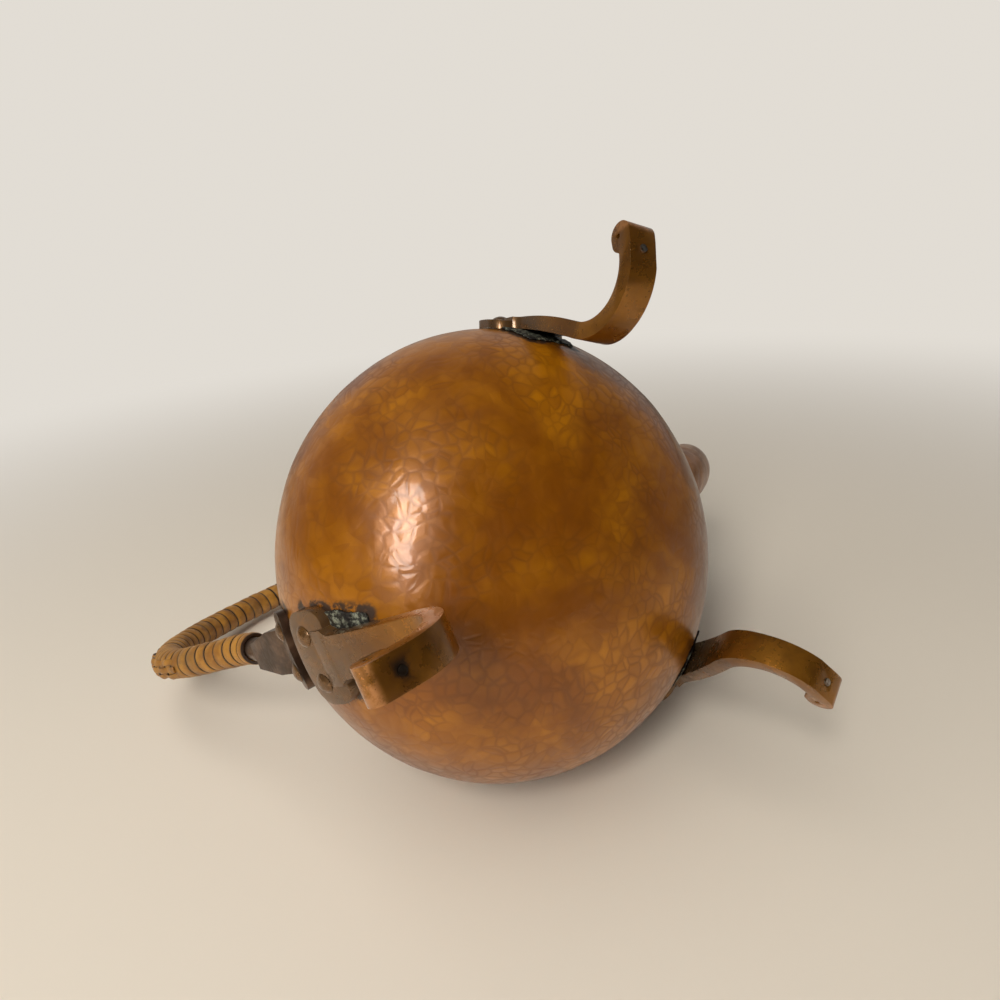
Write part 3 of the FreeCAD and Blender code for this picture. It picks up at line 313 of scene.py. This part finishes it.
def woodMaterial():
    material, tree = newMaterial("turnedWood")
    place = addNode(tree, "ShaderNodeTexCoord").outputs["Object"]
    long = addNode(tree, "ShaderNodeMapping", Vector=place, Scale=(1.0, 1.0, 0.12)).outputs[0]
    grain = noiseNode(tree, long, 900.0, 5.0, 0.65)
    rings = addNode(tree, "ShaderNodeTexWave", {"wave_type": "RINGS", "rings_direction": "Z"}, Vector=long,
                    Scale=160.0, Distortion=3.0, Detail=3.0).outputs["Fac"]
    colour = mixColour(tree, rangeNode(tree, rings, 0.2, 0.9), (0.045, 0.020, 0.010, 1), (0.16, 0.075, 0.032, 1))
    colour = mixColour(tree, rangeNode(tree, grain, 0.5, 0.7, 0.0, 0.7), colour, (0.025, 0.012, 0.008, 1))
    bump = addNode(tree, "ShaderNodeBump", Height=grain, Distance=0.00012)
    shader = addNode(tree, "ShaderNodeBsdfPrincipled", Base_Color=colour, Roughness=0.38, Normal=bump.outputs[0])
    shader.inputs["Coat Weight"].default_value = 0.3
    shader.inputs["Coat Roughness"].default_value = 0.25
    finishShader(tree, shader)
    return material


def caneMaterial(name, light, dark, grey):
    material, tree = newMaterial(name)
    strand = addNode(tree, "ShaderNodeAttribute", {"attribute_name": "strand"}).outputs["Vector"]
    place = addNode(tree, "ShaderNodeTexCoord").outputs["Object"]
    fibre = addNode(tree, "ShaderNodeMapping", Vector=strand, Scale=(60.0, 2600.0, 1.0)).outputs[0]
    fibres = noiseNode(tree, fibre, 1.0, 3.0, 0.6)
    turns = addNode(tree, "ShaderNodeMapping", Vector=strand, Scale=(0.0, 0.0, 1.0)).outputs[0]
    tone = addNode(tree, "ShaderNodeTexWhiteNoise", {"noise_dimensions": "3D"}, Vector=turns).outputs["Value"]
    patches = noiseNode(tree, place, 130.0, 4.0, 0.6)
    colour = mixColour(tree, rangeNode(tree, patches, 0.3, 0.7), light, dark)
    colour = mixColour(tree, mathNode(tree, "MULTIPLY", tone, 0.35), colour, dark)
    colour = mixColour(tree, rangeNode(tree, fibres, 0.45, 0.75, 0.0, 0.22), colour, dark)
    # painted shade in the gaps between neighbouring cane strands: colour darkens towards each strand's edges
    across = addNode(tree, "ShaderNodeSeparateXYZ", Vector=strand).outputs[1]
    side = rangeNode(tree, mathNode(tree, "ABSOLUTE", across), 0.0021, 0.0027)
    colour = mixColour(tree, side, colour, (0.03, 0.014, 0.006, 1))
    grime = rangeNode(tree, noiseNode(tree, place, 60.0, 4.0, 0.7), 0.52, 0.7, 0.0, 0.45)
    colour = mixColour(tree, grime, colour, grey)
    bump = addNode(tree, "ShaderNodeBump", Height=fibres, Distance=0.00012)
    shader = addNode(tree, "ShaderNodeBsdfPrincipled", Base_Color=colour, Roughness=0.52, Normal=bump.outputs[0])
    shader.inputs["Coat Weight"].default_value = 0.15
    shader.inputs["Coat Roughness"].default_value = 0.35
    finishShader(tree, shader)
    return material


materials = {
    "body": copperMaterial("hammeredCopper", copperLooks["body"]),
    "strap": copperMaterial("strapCopper", copperLooks["strap"]),
    "trim": copperMaterial("trimCopper", copperLooks["trim"]),
    "bracket": copperMaterial("bracketCopper", copperLooks["bracket"]),
    "solder": solderMaterial(), "steel": steelMaterial(), "wood": woodMaterial(),
    "cane": caneMaterial("agedCane", (0.50, 0.235, 0.028, 1), (0.24, 0.095, 0.010, 1), (0.13, 0.075, 0.03, 1)),
}


def dress(piece, material):
    piece.data.materials.clear()
    piece.data.materials.append(materials[material])


def onlySelect(piece):
    bpy.ops.object.select_all(action="DESELECT")
    piece.select_set(True)
    bpy.context.view_layer.objects.active = piece


def applyAll(piece):
    onlySelect(piece)
    for modifier in list(piece.modifiers):
        bpy.ops.object.modifier_apply(modifier=modifier.name)


def finishPiece(piece, name, body, slot, material, *stands, angle=40):
    piece.name = name
    onlySelect(piece)
    bpy.ops.object.transform_apply(location=True, rotation=True, scale=True)
    bpy.ops.object.shade_smooth_by_angle(angle=math.radians(angle))
    dress(piece, material)
    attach(piece, body)
    if stands:
        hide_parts(*stands)
    return piece


# the raised ball, hammered all over

ball = {
    "radius": 0.085, "equator": 0.086, "depth": 0.061, "sideBelow": 0.057, "height": 0.078,
    "sideAbove": 0.066, "mouth": 0.0390, "cuts": (10, 10), "liningCuts": (6, 6), "wall": 0.0012,
    "marks": {"kind": "VORONOI", "size": 0.0042, "strength": 0.00006, "level": 0.5},
    "swell": {"kind": "CLOUDS", "size": 0.026, "strength": 0.0007, "level": 0.72},
    "spoutHole": 0.0155, "spoutBearing": 4.0, "stainWidth": 0.0042, "stainedBy": (
        ("leg_rear_solder", 0.004), ("leg_left_solder", 0.004), ("leg_right_solder", 0.004),
        ("spout_solder", 0.004), ("leg_rear", 0.0035), ("leg_left", 0.0035), ("leg_right", 0.0035),
        ("handle_bow", 0.001), ("hinge_body_leaf", 0.0), ("neck_collar", -0.01)),
}


def ballTable(offset):
    radius, table = ball["radius"], []
    for part, side, depth in ((-1, ball["sideBelow"], ball["depth"]), (1, ball["sideAbove"], ball["height"])):
        big = (2 * radius * side - radius ** 2 - depth ** 2) / (2 * (side - depth))
        share = (big - depth) / (big - side)
        turnAngle = math.asin(share)  # where the side arc meets the cap
        points = []
        for step in range(200):
            angle = turnAngle * step / 200
            points.append((radius - side + (side + offset) * math.cos(angle), (side + offset) * math.sin(angle)))
        for step in range(201):
            angle = turnAngle + (math.pi / 2 - turnAngle) * step / 200
            points.append(((big + offset) * math.cos(angle), (big + offset) * math.sin(angle) - (big - depth)))
        table.append(sorted((math.atan2(z, x), math.hypot(x, z)) for x, z in points))
    return table


def ballDistance(table, angle):
    half = table[0] if angle < 0 else table[1]
    spot = min(int(abs(angle) / (math.pi / 2) * (len(half) - 1)), len(half) - 2)
    while spot > 0 and half[spot][0] > abs(angle):
        spot -= 1
    while spot < len(half) - 2 and half[spot + 1][0] < abs(angle):
        spot += 1
    low, high = half[spot], half[spot + 1]
    share = (abs(angle) - low[0]) / max(high[0] - low[0], 1e-9)
    return low[1] + (high[1] - low[1]) * share


def roundBlank(name, cuts, offset):
    bpy.ops.mesh.primitive_cube_add(size=0.1, location=(0, 0, 0))
    piece = bpy.context.object
    bpy.ops.object.mode_set(mode="EDIT")
    for count in cuts:
        bpy.ops.mesh.subdivide(number_cuts=count)
    bpy.ops.object.mode_set(mode="OBJECT")
    bpy.ops.object.modifier_add(type="CAST")
    piece.modifiers[-1].factor = 1.0
    piece.modifiers[-1].radius = 0.05
    applyAll(piece)
    table = ballTable(offset)
    bearing = math.radians(ball["spoutBearing"])
    for vertex in piece.data.vertices:
        way = vertex.co.normalized()
        angle = math.asin(max(-1.0, min(1.0, way.z)))
        vertex.co = way * ballDistance(table, angle) + Vector((0, 0, ball["equator"]))
    bpy.ops.object.mode_set(mode="EDIT")
    bpy.ops.mesh.select_all(action="DESELECT")
    bpy.ops.object.mode_set(mode="OBJECT")
    for face in piece.data.polygons:
        spot = face.center
        inMouth = spot.z > 0.14 and math.hypot(spot.x, spot.y) < ball["mouth"]
        sideways = -spot.x * math.sin(bearing) + spot.y * math.cos(bearing)
        inSpout = spot.x > 0.05 and math.hypot(sideways, spot.z - 0.0915) < ball["spoutHole"]
        face.select = inMouth or inSpout
    bpy.ops.object.mode_set(mode="EDIT")
    bpy.ops.mesh.delete(type="FACE")
    bpy.ops.object.mode_set(mode="OBJECT")
    return piece


def markStain(piece):
    spots = []
    for node, reach in ball["stainedBy"]:
        source = nodes[node]
        for vertex in source.data.vertices:
            spot = source.matrix_world @ vertex.co
            if (spot - Vector((0, 0, ball["equator"]))).length < ball["radius"] + reach:
                spots.append(spot)
    tree = kdtree.KDTree(len(spots))
    for number, spot in enumerate(spots):
        tree.insert(spot, number)
    tree.balance()
    values = []
    for vertex in piece.data.vertices:
        away = tree.find(vertex.co)[2]
        values.append(max(0.0, 1.0 - away / ball["stainWidth"]))
    attribute = piece.data.attributes.new("stain", "FLOAT", "POINT")
    attribute.data.foreach_set("value", values)


def makeBody():
    piece = roundBlank("body", ball["cuts"], 0.0)
    for label in ("swell", "marks"):
        setting = ball[label]
        texture = bpy.data.textures.new("body" + label.title(), setting["kind"])
        texture.noise_scale = setting["size"]
        bpy.ops.object.modifier_add(type="DISPLACE")
        modifier = piece.modifiers[-1]
        modifier.texture = texture
        modifier.texture_coords = "LOCAL"
        modifier.strength = setting["strength"]
        modifier.mid_level = setting["level"]
    applyAll(piece)
    markStain(piece)
    finishPiece(piece, "hammeredBody", "kettle", "copper", "body", "body_shell", angle=80)
    lining = roundBlank("lining", ball["liningCuts"], -ball["wall"])
    onlySelect(lining)
    bpy.ops.object.mode_set(mode="EDIT")
    bpy.ops.mesh.select_all(action="SELECT")
    bpy.ops.mesh.flip_normals()
    bpy.ops.object.mode_set(mode="OBJECT")
    finishPiece(lining, "bodyLining", "kettle", "copper", "trim", angle=80)
    print("body made:", len(piece.data.polygons), "faces")


# softened copies of the CAD pieces, with worn edges that also carry a painted highlight

softPieces = {
    "leg_rear": ("strap", 0.00055), "leg_left": ("strap", 0.00055), "leg_right": ("strap", 0.00055),
    "handle_bow": ("bracket", 0.0004), "neck_collar": ("trim", 0.0003), "spout": ("trim", 0.0003),
    "hinge_body_leaf": ("trim", 0.00025),
}


def softCopy(node, material, width):
    source = nodes[node]
    onlySelect(source)
    bpy.ops.object.duplicate()
    piece = bpy.context.object
    piece.parent = None
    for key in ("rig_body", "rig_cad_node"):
        if key in piece:
            del piece[key]
    bpy.ops.object.mode_set(mode="EDIT")
    bpy.ops.mesh.select_all(action="SELECT")
    bpy.ops.mesh.remove_doubles(threshold=0.00001)
    bpy.ops.mesh.dissolve_limited(angle_limit=math.radians(0.6))
    bpy.ops.object.mode_set(mode="OBJECT")
    bpy.ops.object.modifier_add(type="BEVEL")
    bevel = piece.modifiers[-1]
    bevel.width = width
    bevel.segments = 3
    bevel.limit_method = "ANGLE"
    bevel.angle_limit = math.radians(34)
    bevel.miter_outer = "MITER_ARC"
    bevel.material = 1
    piece.data.materials.clear()
    for label in (material, "steel"):
        piece.data.materials.append(materials[label])
    applyAll(piece)
    before = len(piece.data.polygons)
    markWearAndGlint(piece)
    if node == "leg_rear":
        markScar(piece)
    finishPiece(piece, node + "_soft", source["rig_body"], "copper", material, node, angle=36)
    print("softened", node, before)
    return piece


def markWearAndGlint(piece):
    mesh = piece.data
    flat, beside = set(), {}
    for face in mesh.polygons:
        if face.material_index == 0:
            flat.update(face.vertices)
        face.material_index = 0
    for edge in mesh.edges:
        here, there = edge.vertices
        beside.setdefault(here, []).append(there)
        beside.setdefault(there, []).append(here)
    # bevel vertices on convex edges get the mask for edge wear and the painted edge highlight
    wornAndGlinting = [0.0] * len(mesh.vertices)
    for vertex in mesh.vertices:
        if vertex.index in flat or vertex.index not in beside:
            continue
        lean = sum((mesh.vertices[other].co - vertex.co).normalized().dot(vertex.normal) for other in beside[vertex.index])
        wornAndGlinting[vertex.index] = 1.0 if lean < -0.05 else 0.0
    attribute = mesh.attributes.new("wearAndGlint", "FLOAT", "POINT")
    attribute.data.foreach_set("value", wornAndGlinting)


def markScar(piece):
    spots = [vertex.co for vertex in nodes["toe_pins"].data.vertices if vertex.co.x < -0.07]
    centre = sum(spots, Vector()) / len(spots)
    attribute = piece.data.attributes.new("stain", "FLOAT", "POINT")
    values = [max(0.0, 1.0 - (vertex.co - centre).length / 0.005) for vertex in piece.data.vertices]
    attribute.data.foreach_set("value", values)


# lumpy tin where the pieces were soldered on

solders = {
    "nodes": ("spout_solder", "leg_rear_solder", "leg_left_solder", "leg_right_solder"),
    "voxel": 0.00035, "lumps": (("CLOUDS", 0.0022, 0.0009), ("CLOUDS", 0.0008, 0.0003)),
}


def makeSolders():
    for node in solders["nodes"]:
        source = nodes[node]
        onlySelect(source)
        bpy.ops.object.duplicate()
        piece = bpy.context.object
        piece.parent = None
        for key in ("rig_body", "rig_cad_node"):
            if key in piece:
                del piece[key]
        bpy.ops.object.modifier_add(type="REMESH")
        piece.modifiers[-1].mode = "VOXEL"
        piece.modifiers[-1].voxel_size = solders["voxel"]
        for number, (kind, size, strength) in enumerate(solders["lumps"]):
            texture = bpy.data.textures.new(f"solderLumps{number}", kind)
            texture.noise_scale = size
            bpy.ops.object.modifier_add(type="DISPLACE")
            piece.modifiers[-1].texture = texture
            piece.modifiers[-1].texture_coords = "LOCAL"
            piece.modifiers[-1].strength = strength
            piece.modifiers[-1].mid_level = 0.55
        bpy.ops.object.modifier_add(type="SMOOTH")
        piece.modifiers[-1].iterations = 2
        applyAll(piece)
        finishPiece(piece, node + "_lumps", source["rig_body"], "solder", "solder", node, angle=80)
        print("soldered", node, len(piece.data.polygons))


# the bow's line, as in the CAD, and the cane round it

bow = {
    "start": (-0.089, 0.116), "steps": (
        ("run", 0.014), ("left", 0.035, 28), ("run", 0.022), ("right", 0.070, 90), ("right", 0.10998, 43),
        ("right", 0.066, 67), ("run", 0.06809)),
    "bareRear": 0.012, "bareFront": 0.018, "lean": 1.0, "leanHeight": 0.106,
}
cane = {
    "inner": 0.0044, "outer": 0.0062, "pitch": 0.0057, "width": 0.0057, "steps": 32, "sides": 10, "seed": 4,
    "strips": 3, "stripWidth": 0.0025, "stripGap": 0.0006, "stripThick": 0.0009, "runnerAngle": 180,
}


def leant(x, z):
    turn = Matrix.Rotation(math.radians(bow["lean"]), 4, "X")
    pivot = Vector((0, 0, bow["leanHeight"]))
    return turn @ (Vector((x, 0, z)) - pivot) + pivot


def makeBowLine():
    x, z = bow["start"]
    heading = math.radians(90)
    z += bow["bareRear"]
    steps = [list(step) for step in bow["steps"]]
    steps[0][1] -= bow["bareRear"]
    steps[-1][1] -= bow["bareFront"]
    tips = [(x, z, heading, 0.0, 0.0)]  # place, heading, handle before, handle after
    marks, length = {}, 0.0
    for step in steps:
        if step[0] == "run":
            reach = step[1]
            handle = reach / 3
            x, z = x + reach * math.cos(heading), z + reach * math.sin(heading)
            pieces = [(x, z, heading, handle)]
            length += reach
        else:
            side, radius, turn = (1 if step[0] == "left" else -1), step[1], math.radians(step[2])
            count = max(1, math.ceil(turn / math.radians(46)))
            marks[step[1]] = length
            centre = (x - side * radius * math.sin(heading), z + side * radius * math.cos(heading))
            handle = 4 / 3 * math.tan(turn / count / 4) * radius
            pieces = []
            for _ in range(count):
                heading += side * turn / count
                x = centre[0] + side * radius * math.sin(heading)
                z = centre[1] - side * radius * math.cos(heading)
                pieces.append((x, z, heading, handle))
            length += radius * turn
        for px, pz, way, handle in pieces:
            last = tips[-1]
            tips[-1] = (*last[:4], handle)
            tips.append((px, pz, way, handle, 0.0))
    bpy.ops.curve.primitive_bezier_curve_add(location=(0, 0, 0))
    line = bpy.context.object
    spline = line.data.splines[0]
    spline.bezier_points.add(len(tips) - 2)
    for point, (px, pz, way, before, after) in zip(spline.bezier_points, tips):
        point.handle_left_type = point.handle_right_type = "FREE"
        ahead = Vector((math.cos(way), math.sin(way)))
        point.co = leant(px, pz)
        point.handle_left = leant(px - ahead.x * before, pz - ahead.y * before)
        point.handle_right = leant(px + ahead.x * after, pz + ahead.y * after)
    line.data.resolution_u = 48
    line.data.dimensions = "3D"
    return line, length, marks


def bendAlong(piece, line):
    onlySelect(piece)
    bpy.ops.object.modifier_add(type="CURVE")
    piece.modifiers[-1].object = line
    piece.modifiers[-1].deform_axis = "POS_X"
    bpy.ops.object.modifier_apply(modifier=piece.modifiers[-1].name)


def makeCane():
    line, length, marks = makeBowLine()
    random.seed(cane["seed"])
    turns = round(length / cane["pitch"])
    pitch = length / turns
    radius = (cane["inner"] + cane["outer"]) / 2
    thick = (cane["outer"] - cane["inner"]) / 2
    bendStart = marks[0.070]
    runnerFrom, runnerTo = bendStart + 0.07 * math.radians(8), bendStart + 0.07 * math.radians(62)
    bpy.ops.mesh.primitive_circle_add(vertices=cane["sides"], radius=1, location=(0, 0, 0))
    wrap = bpy.context.object
    for vertex in wrap.data.vertices:
        across, out = vertex.co.x, vertex.co.y
        across = math.copysign(abs(across) ** 0.7, across)
        out = math.copysign(abs(out) ** 0.55, out)
        vertex.co = (radius + out * thick, 0, across * cane["width"] / 2)
    bpy.ops.object.modifier_add(type="SCREW")
    screw = wrap.modifiers[-1]
    screw.axis = "Z"
    screw.steps = screw.render_steps = cane["steps"]
    screw.iterations = turns - 1
    screw.screw_offset = pitch
    screw.use_merge_vertices = False
    applyAll(wrap)
    onlySelect(wrap)
    bpy.ops.object.mode_set(mode="EDIT")
    bpy.ops.mesh.select_all(action="SELECT")
    bpy.ops.mesh.normals_make_consistent(inside=False)
    bpy.ops.object.mode_set(mode="OBJECT")
    tones = [random.random() for _ in range(turns + 2)]
    shifts = [random.uniform(-1, 1) for _ in range(turns + 2)]
    lifts = [random.uniform(-1, 1) for _ in range(turns + 2)]
    strand = []
    for vertex in wrap.data.vertices:
        x, y, z = vertex.co
        angle = math.atan2(y, x)
        rough = (z - pitch * (angle % (2 * math.pi)) / (2 * math.pi)) / pitch
        turn = max(0, min(turns, round(rough)))
        wound = turn * 2 * math.pi + (angle % (2 * math.pi))
        middle = wound / (2 * math.pi) * pitch
        across = z - middle
        share = (angle % (2 * math.pi)) / (2 * math.pi)
        shift = (shifts[turn] * (1 - share) + shifts[turn + 1] * share) * 0.00022
        lift = 1 + (lifts[turn] * (1 - share) + lifts[turn + 1] * share) * 0.025
        wobble = noise.noise(Vector((wound * 0.6, 3.1, 0))) * 0.00018
        along = z + pitch / 2 + shift + wobble
        outwards = math.hypot(x, y) * lift
        strand.extend((wound * radius, across, tones[turn] * 10 + turn))
        vertex.co = (along, outwards * math.cos(angle), outwards * math.sin(angle))
    attribute = wrap.data.attributes.new("strand", "FLOAT_VECTOR", "POINT")
    attribute.data.foreach_set("vector", strand)
    onlySelect(wrap)
    bpy.ops.object.mode_set(mode="EDIT")
    bpy.ops.mesh.select_all(action="SELECT")
    bpy.ops.mesh.normals_make_consistent(inside=False)
    bpy.ops.object.mode_set(mode="OBJECT")
    bendAlong(wrap, line)
    finishPiece(wrap, "caneStrands", "kettle", "cane", "cane", "cane_wrap", angle=60)
    print("cane wrapped:", turns, "turns,", len(wrap.data.polygons), "faces")

    strips = []
    for number in range(cane["strips"]):
        span = runnerTo - runnerFrom
        cells = round(span / pitch) * 14
        bpy.ops.mesh.primitive_grid_add(x_subdivisions=cells, y_subdivisions=6, size=1, location=(0, 0, 0))
        strip = bpy.context.object
        side = number - (cane["strips"] - 1) / 2
        values = []
        for vertex in strip.data.vertices:
            along = runnerFrom + (vertex.co.x + 0.5) * span
            across = vertex.co.y * cane["stripWidth"]
            wave = math.cos(math.pi * (along / pitch + number))
            height = cane["outer"] + 0.00015 + 0.0006 * wave - 0.00025 * (vertex.co.y * 2) ** 2
            angle = (across + side * (cane["stripWidth"] + cane["stripGap"])) / cane["outer"] + math.radians(cane["runnerAngle"])
            # across is stretched so the painted gap shade also falls on the runner strips' edges
            values.extend((along, across * 2.1, 90 + number))
            vertex.co = (along, height * math.cos(angle), height * math.sin(angle))
        attribute = strip.data.attributes.new("strand", "FLOAT_VECTOR", "POINT")
        attribute.data.foreach_set("vector", values)
        bpy.ops.object.modifier_add(type="SOLIDIFY")
        strip.modifiers[-1].thickness = cane["stripThick"]
        strip.modifiers[-1].offset = 0
        bpy.ops.object.modifier_add(type="BEVEL")
        strip.modifiers[-1].width = 0.0003
        strip.modifiers[-1].segments = 2
        strip.modifiers[-1].limit_method = "ANGLE"
        applyAll(strip)
        strips.append(strip)
    bpy.ops.object.select_all(action="DESELECT")
    for strip in strips:
        strip.select_set(True)
    bpy.context.view_layer.objects.active = strips[0]
    bpy.ops.object.join()
    runner = strips[0]
    bendAlong(runner, line)
    finishPiece(runner, "caneRunner", "kettle", "cane", "cane", "cane_runner", angle=60)
    print("runner woven")
    bpy.data.objects.remove(line)


# stage: one floor under the feet, and one where the kettle lies in the photograph. Two clear
# sheets before the camera tell the floors which of them it sees.

stage = {
    "tone": (0.74, 0.67, 0.57, 1), "far": (0.76, 0.72, 0.66, 1), "size": 8.0, "fade": (0.20, 0.9),
    "lying": (0.066, -0.9141, -0.40), "reach": 0.0838, "sheets": (0.020, 0.024), "sheetSize": 0.12,
    "softLamps": ("room", "overhead"),
}


def floorMaterial(name, lying):
    material, tree = newMaterial(name)
    path = addNode(tree, "ShaderNodeLightPath")
    behind = addNode(tree, "ShaderNodeNewGeometry").outputs["Backfacing"]
    passed = mathNode(tree, "GREATER_THAN", path.outputs["Transparent Depth"], 1.5)
    if not lying:
        passed = mathNode(tree, "SUBTRACT", 1.0, passed)
    behind = mathNode(tree, "MULTIPLY", behind, mathNode(tree, "SUBTRACT", 1.0, path.outputs["Is Shadow Ray"]))
    shown = mathNode(tree, "MULTIPLY", passed, mathNode(tree, "SUBTRACT", 1.0, behind))
    place = addNode(tree, "ShaderNodeTexCoord").outputs["Object"]
    away = rangeNode(tree, vectorNode(tree, "LENGTH", place), *stage["fade"])
    away = mathNode(tree, "MULTIPLY", away, path.outputs["Is Camera Ray"])
    plain = addNode(tree, "ShaderNodeBsdfDiffuse", Color=stage["tone"])
    far = addNode(tree, "ShaderNodeEmission", Color=stage["far"])
    floor = addNode(tree, "ShaderNodeMixShader", i0=away, i1=plain.outputs[0], i2=far.outputs[0])
    clear = addNode(tree, "ShaderNodeBsdfTransparent")
    mix = addNode(tree, "ShaderNodeMixShader", i0=shown, i1=clear.outputs[0], i2=floor.outputs[0])
    finishShader(tree, mix)
    return material


def stagePlane(name, matrix, size, material):
    bpy.ops.mesh.primitive_plane_add(size=size)
    plane = bpy.context.object
    plane.name = name
    plane.matrix_world = matrix
    plane.data.materials.append(material)


def facing(place, way):
    return Matrix.Translation(place) @ Vector(way).to_track_quat("Z", "Y").to_matrix().to_4x4()


def makeStage():
    stagePlane("standingFloor", Matrix.Translation((0, 0, -0.0003)), stage["size"], floorMaterial("standingFloor", False))
    way = Vector(stage["lying"]).normalized()
    stagePlane("lyingFloor", facing(Vector((0, 0, 0.086)) - way * stage["reach"], way), stage["size"],
               floorMaterial("lyingFloor", True))
    material, tree = newMaterial("clearSheet")
    finishShader(tree, addNode(tree, "ShaderNodeBsdfTransparent"))
    back = Vector(camera["back"]).normalized()
    for number, ahead in enumerate(stage["sheets"]):
        stagePlane(f"clearSheet{number}", facing(Vector(camera["place"]) - back * ahead, back), stage["sheetSize"], material)


lamps = (  # name, where, aim, size, watts, colour
    ("window", (-0.78, -0.50, -0.72), (-0.02, 0.0, 0.08), (0.70, 0.26), 11, (1.0, 0.97, 0.92)),
    ("room", (-0.55, -1.1, -0.35), (0, 0, 0.09), (1.6, 1.6), 12, (1.0, 0.97, 0.93)),
    ("overhead", (0.35, -0.15, 1.5), (0, 0, 0.1), (1.0, 1.0), 17, (1.0, 0.98, 0.95)),
    ("side", (-1.3, 0.5, 0.9), (0, 0, 0.1), (1.4, 1.4), 8, (0.95, 0.97, 1.0)),
    ("far", (1.0, 1.1, 0.7), (0, 0, 0.1), (1.4, 1.4), 8, (1.0, 0.98, 0.95)),
)


def makeLights():
    for name, where, aim, size, watts, colour in lamps:
        bpy.ops.object.light_add(type="AREA", location=where)
        lamp = bpy.context.object
        lamp.name = name
        lamp.data.shape = "RECTANGLE"
        lamp.data.size, lamp.data.size_y = size
        lamp.data.energy = watts
        lamp.data.color = colour
        lamp.visible_glossy = name not in stage["softLamps"]
        lamp.rotation_mode = "QUATERNION"
        lamp.rotation_quaternion = (Vector(aim) - Vector(where)).to_track_quat("-Z", "Y")
    world = bpy.data.worlds.new("paleRoom")
    bpy.context.scene.world = world
    world.use_nodes = True
    tree = world.node_tree
    tree.nodes.clear()
    way = addNode(tree, "ShaderNodeTexCoord").outputs["Generated"]
    towards = vectorNode(tree, "DOT_PRODUCT", way, (0.516, 0.082, 0.853))
    glow = rangeNode(tree, towards, -0.2, 0.8, 0.02, 0.38)
    path = addNode(tree, "ShaderNodeLightPath")
    room = addNode(tree, "ShaderNodeBackground", Color=(1.0, 0.97, 0.93, 1), Strength=glow)
    shown = addNode(tree, "ShaderNodeBackground", Color=stage["far"], Strength=1.0)
    mix = addNode(tree, "ShaderNodeMixShader", i0=path.outputs["Is Camera Ray"], i1=room.outputs[0], i2=shown.outputs[0])
    out = tree.nodes.new("ShaderNodeOutputWorld")
    tree.links.new(mix.outputs[0], out.inputs["Surface"])
    bpy.context.scene.view_settings.view_transform = "Standard"


makeCamera()
makeStage()
makeLights()
print("stage ready")
makeBody()
for label, (finish, width) in softPieces.items():
    softCopy(label, finish, width)
makeSolders()
makeCane()

dressings = {
    "steel": ("toe_pins", "knob_screw", "knob_washer", "hinge_pin"),
    "strap": ("leg_rear_rivets", "leg_left_rivets", "leg_right_rivets", "handle_rear_rivets", "handle_front_rivets"),
    "trim": ("lid_bezel", "hinge_lid_leaf", "hinge_lid_rivets", "hinge_body_rivets", "knob_ferrule"),
    "body": ("lid_dome",), "wood": ("lid_knob",),
}
for finish, labels in dressings.items():
    for label in labels:
        dress(nodes[label], finish)
print("CAD nodes dressed")

bpy.ops.object.select_all(action="DESELECT")
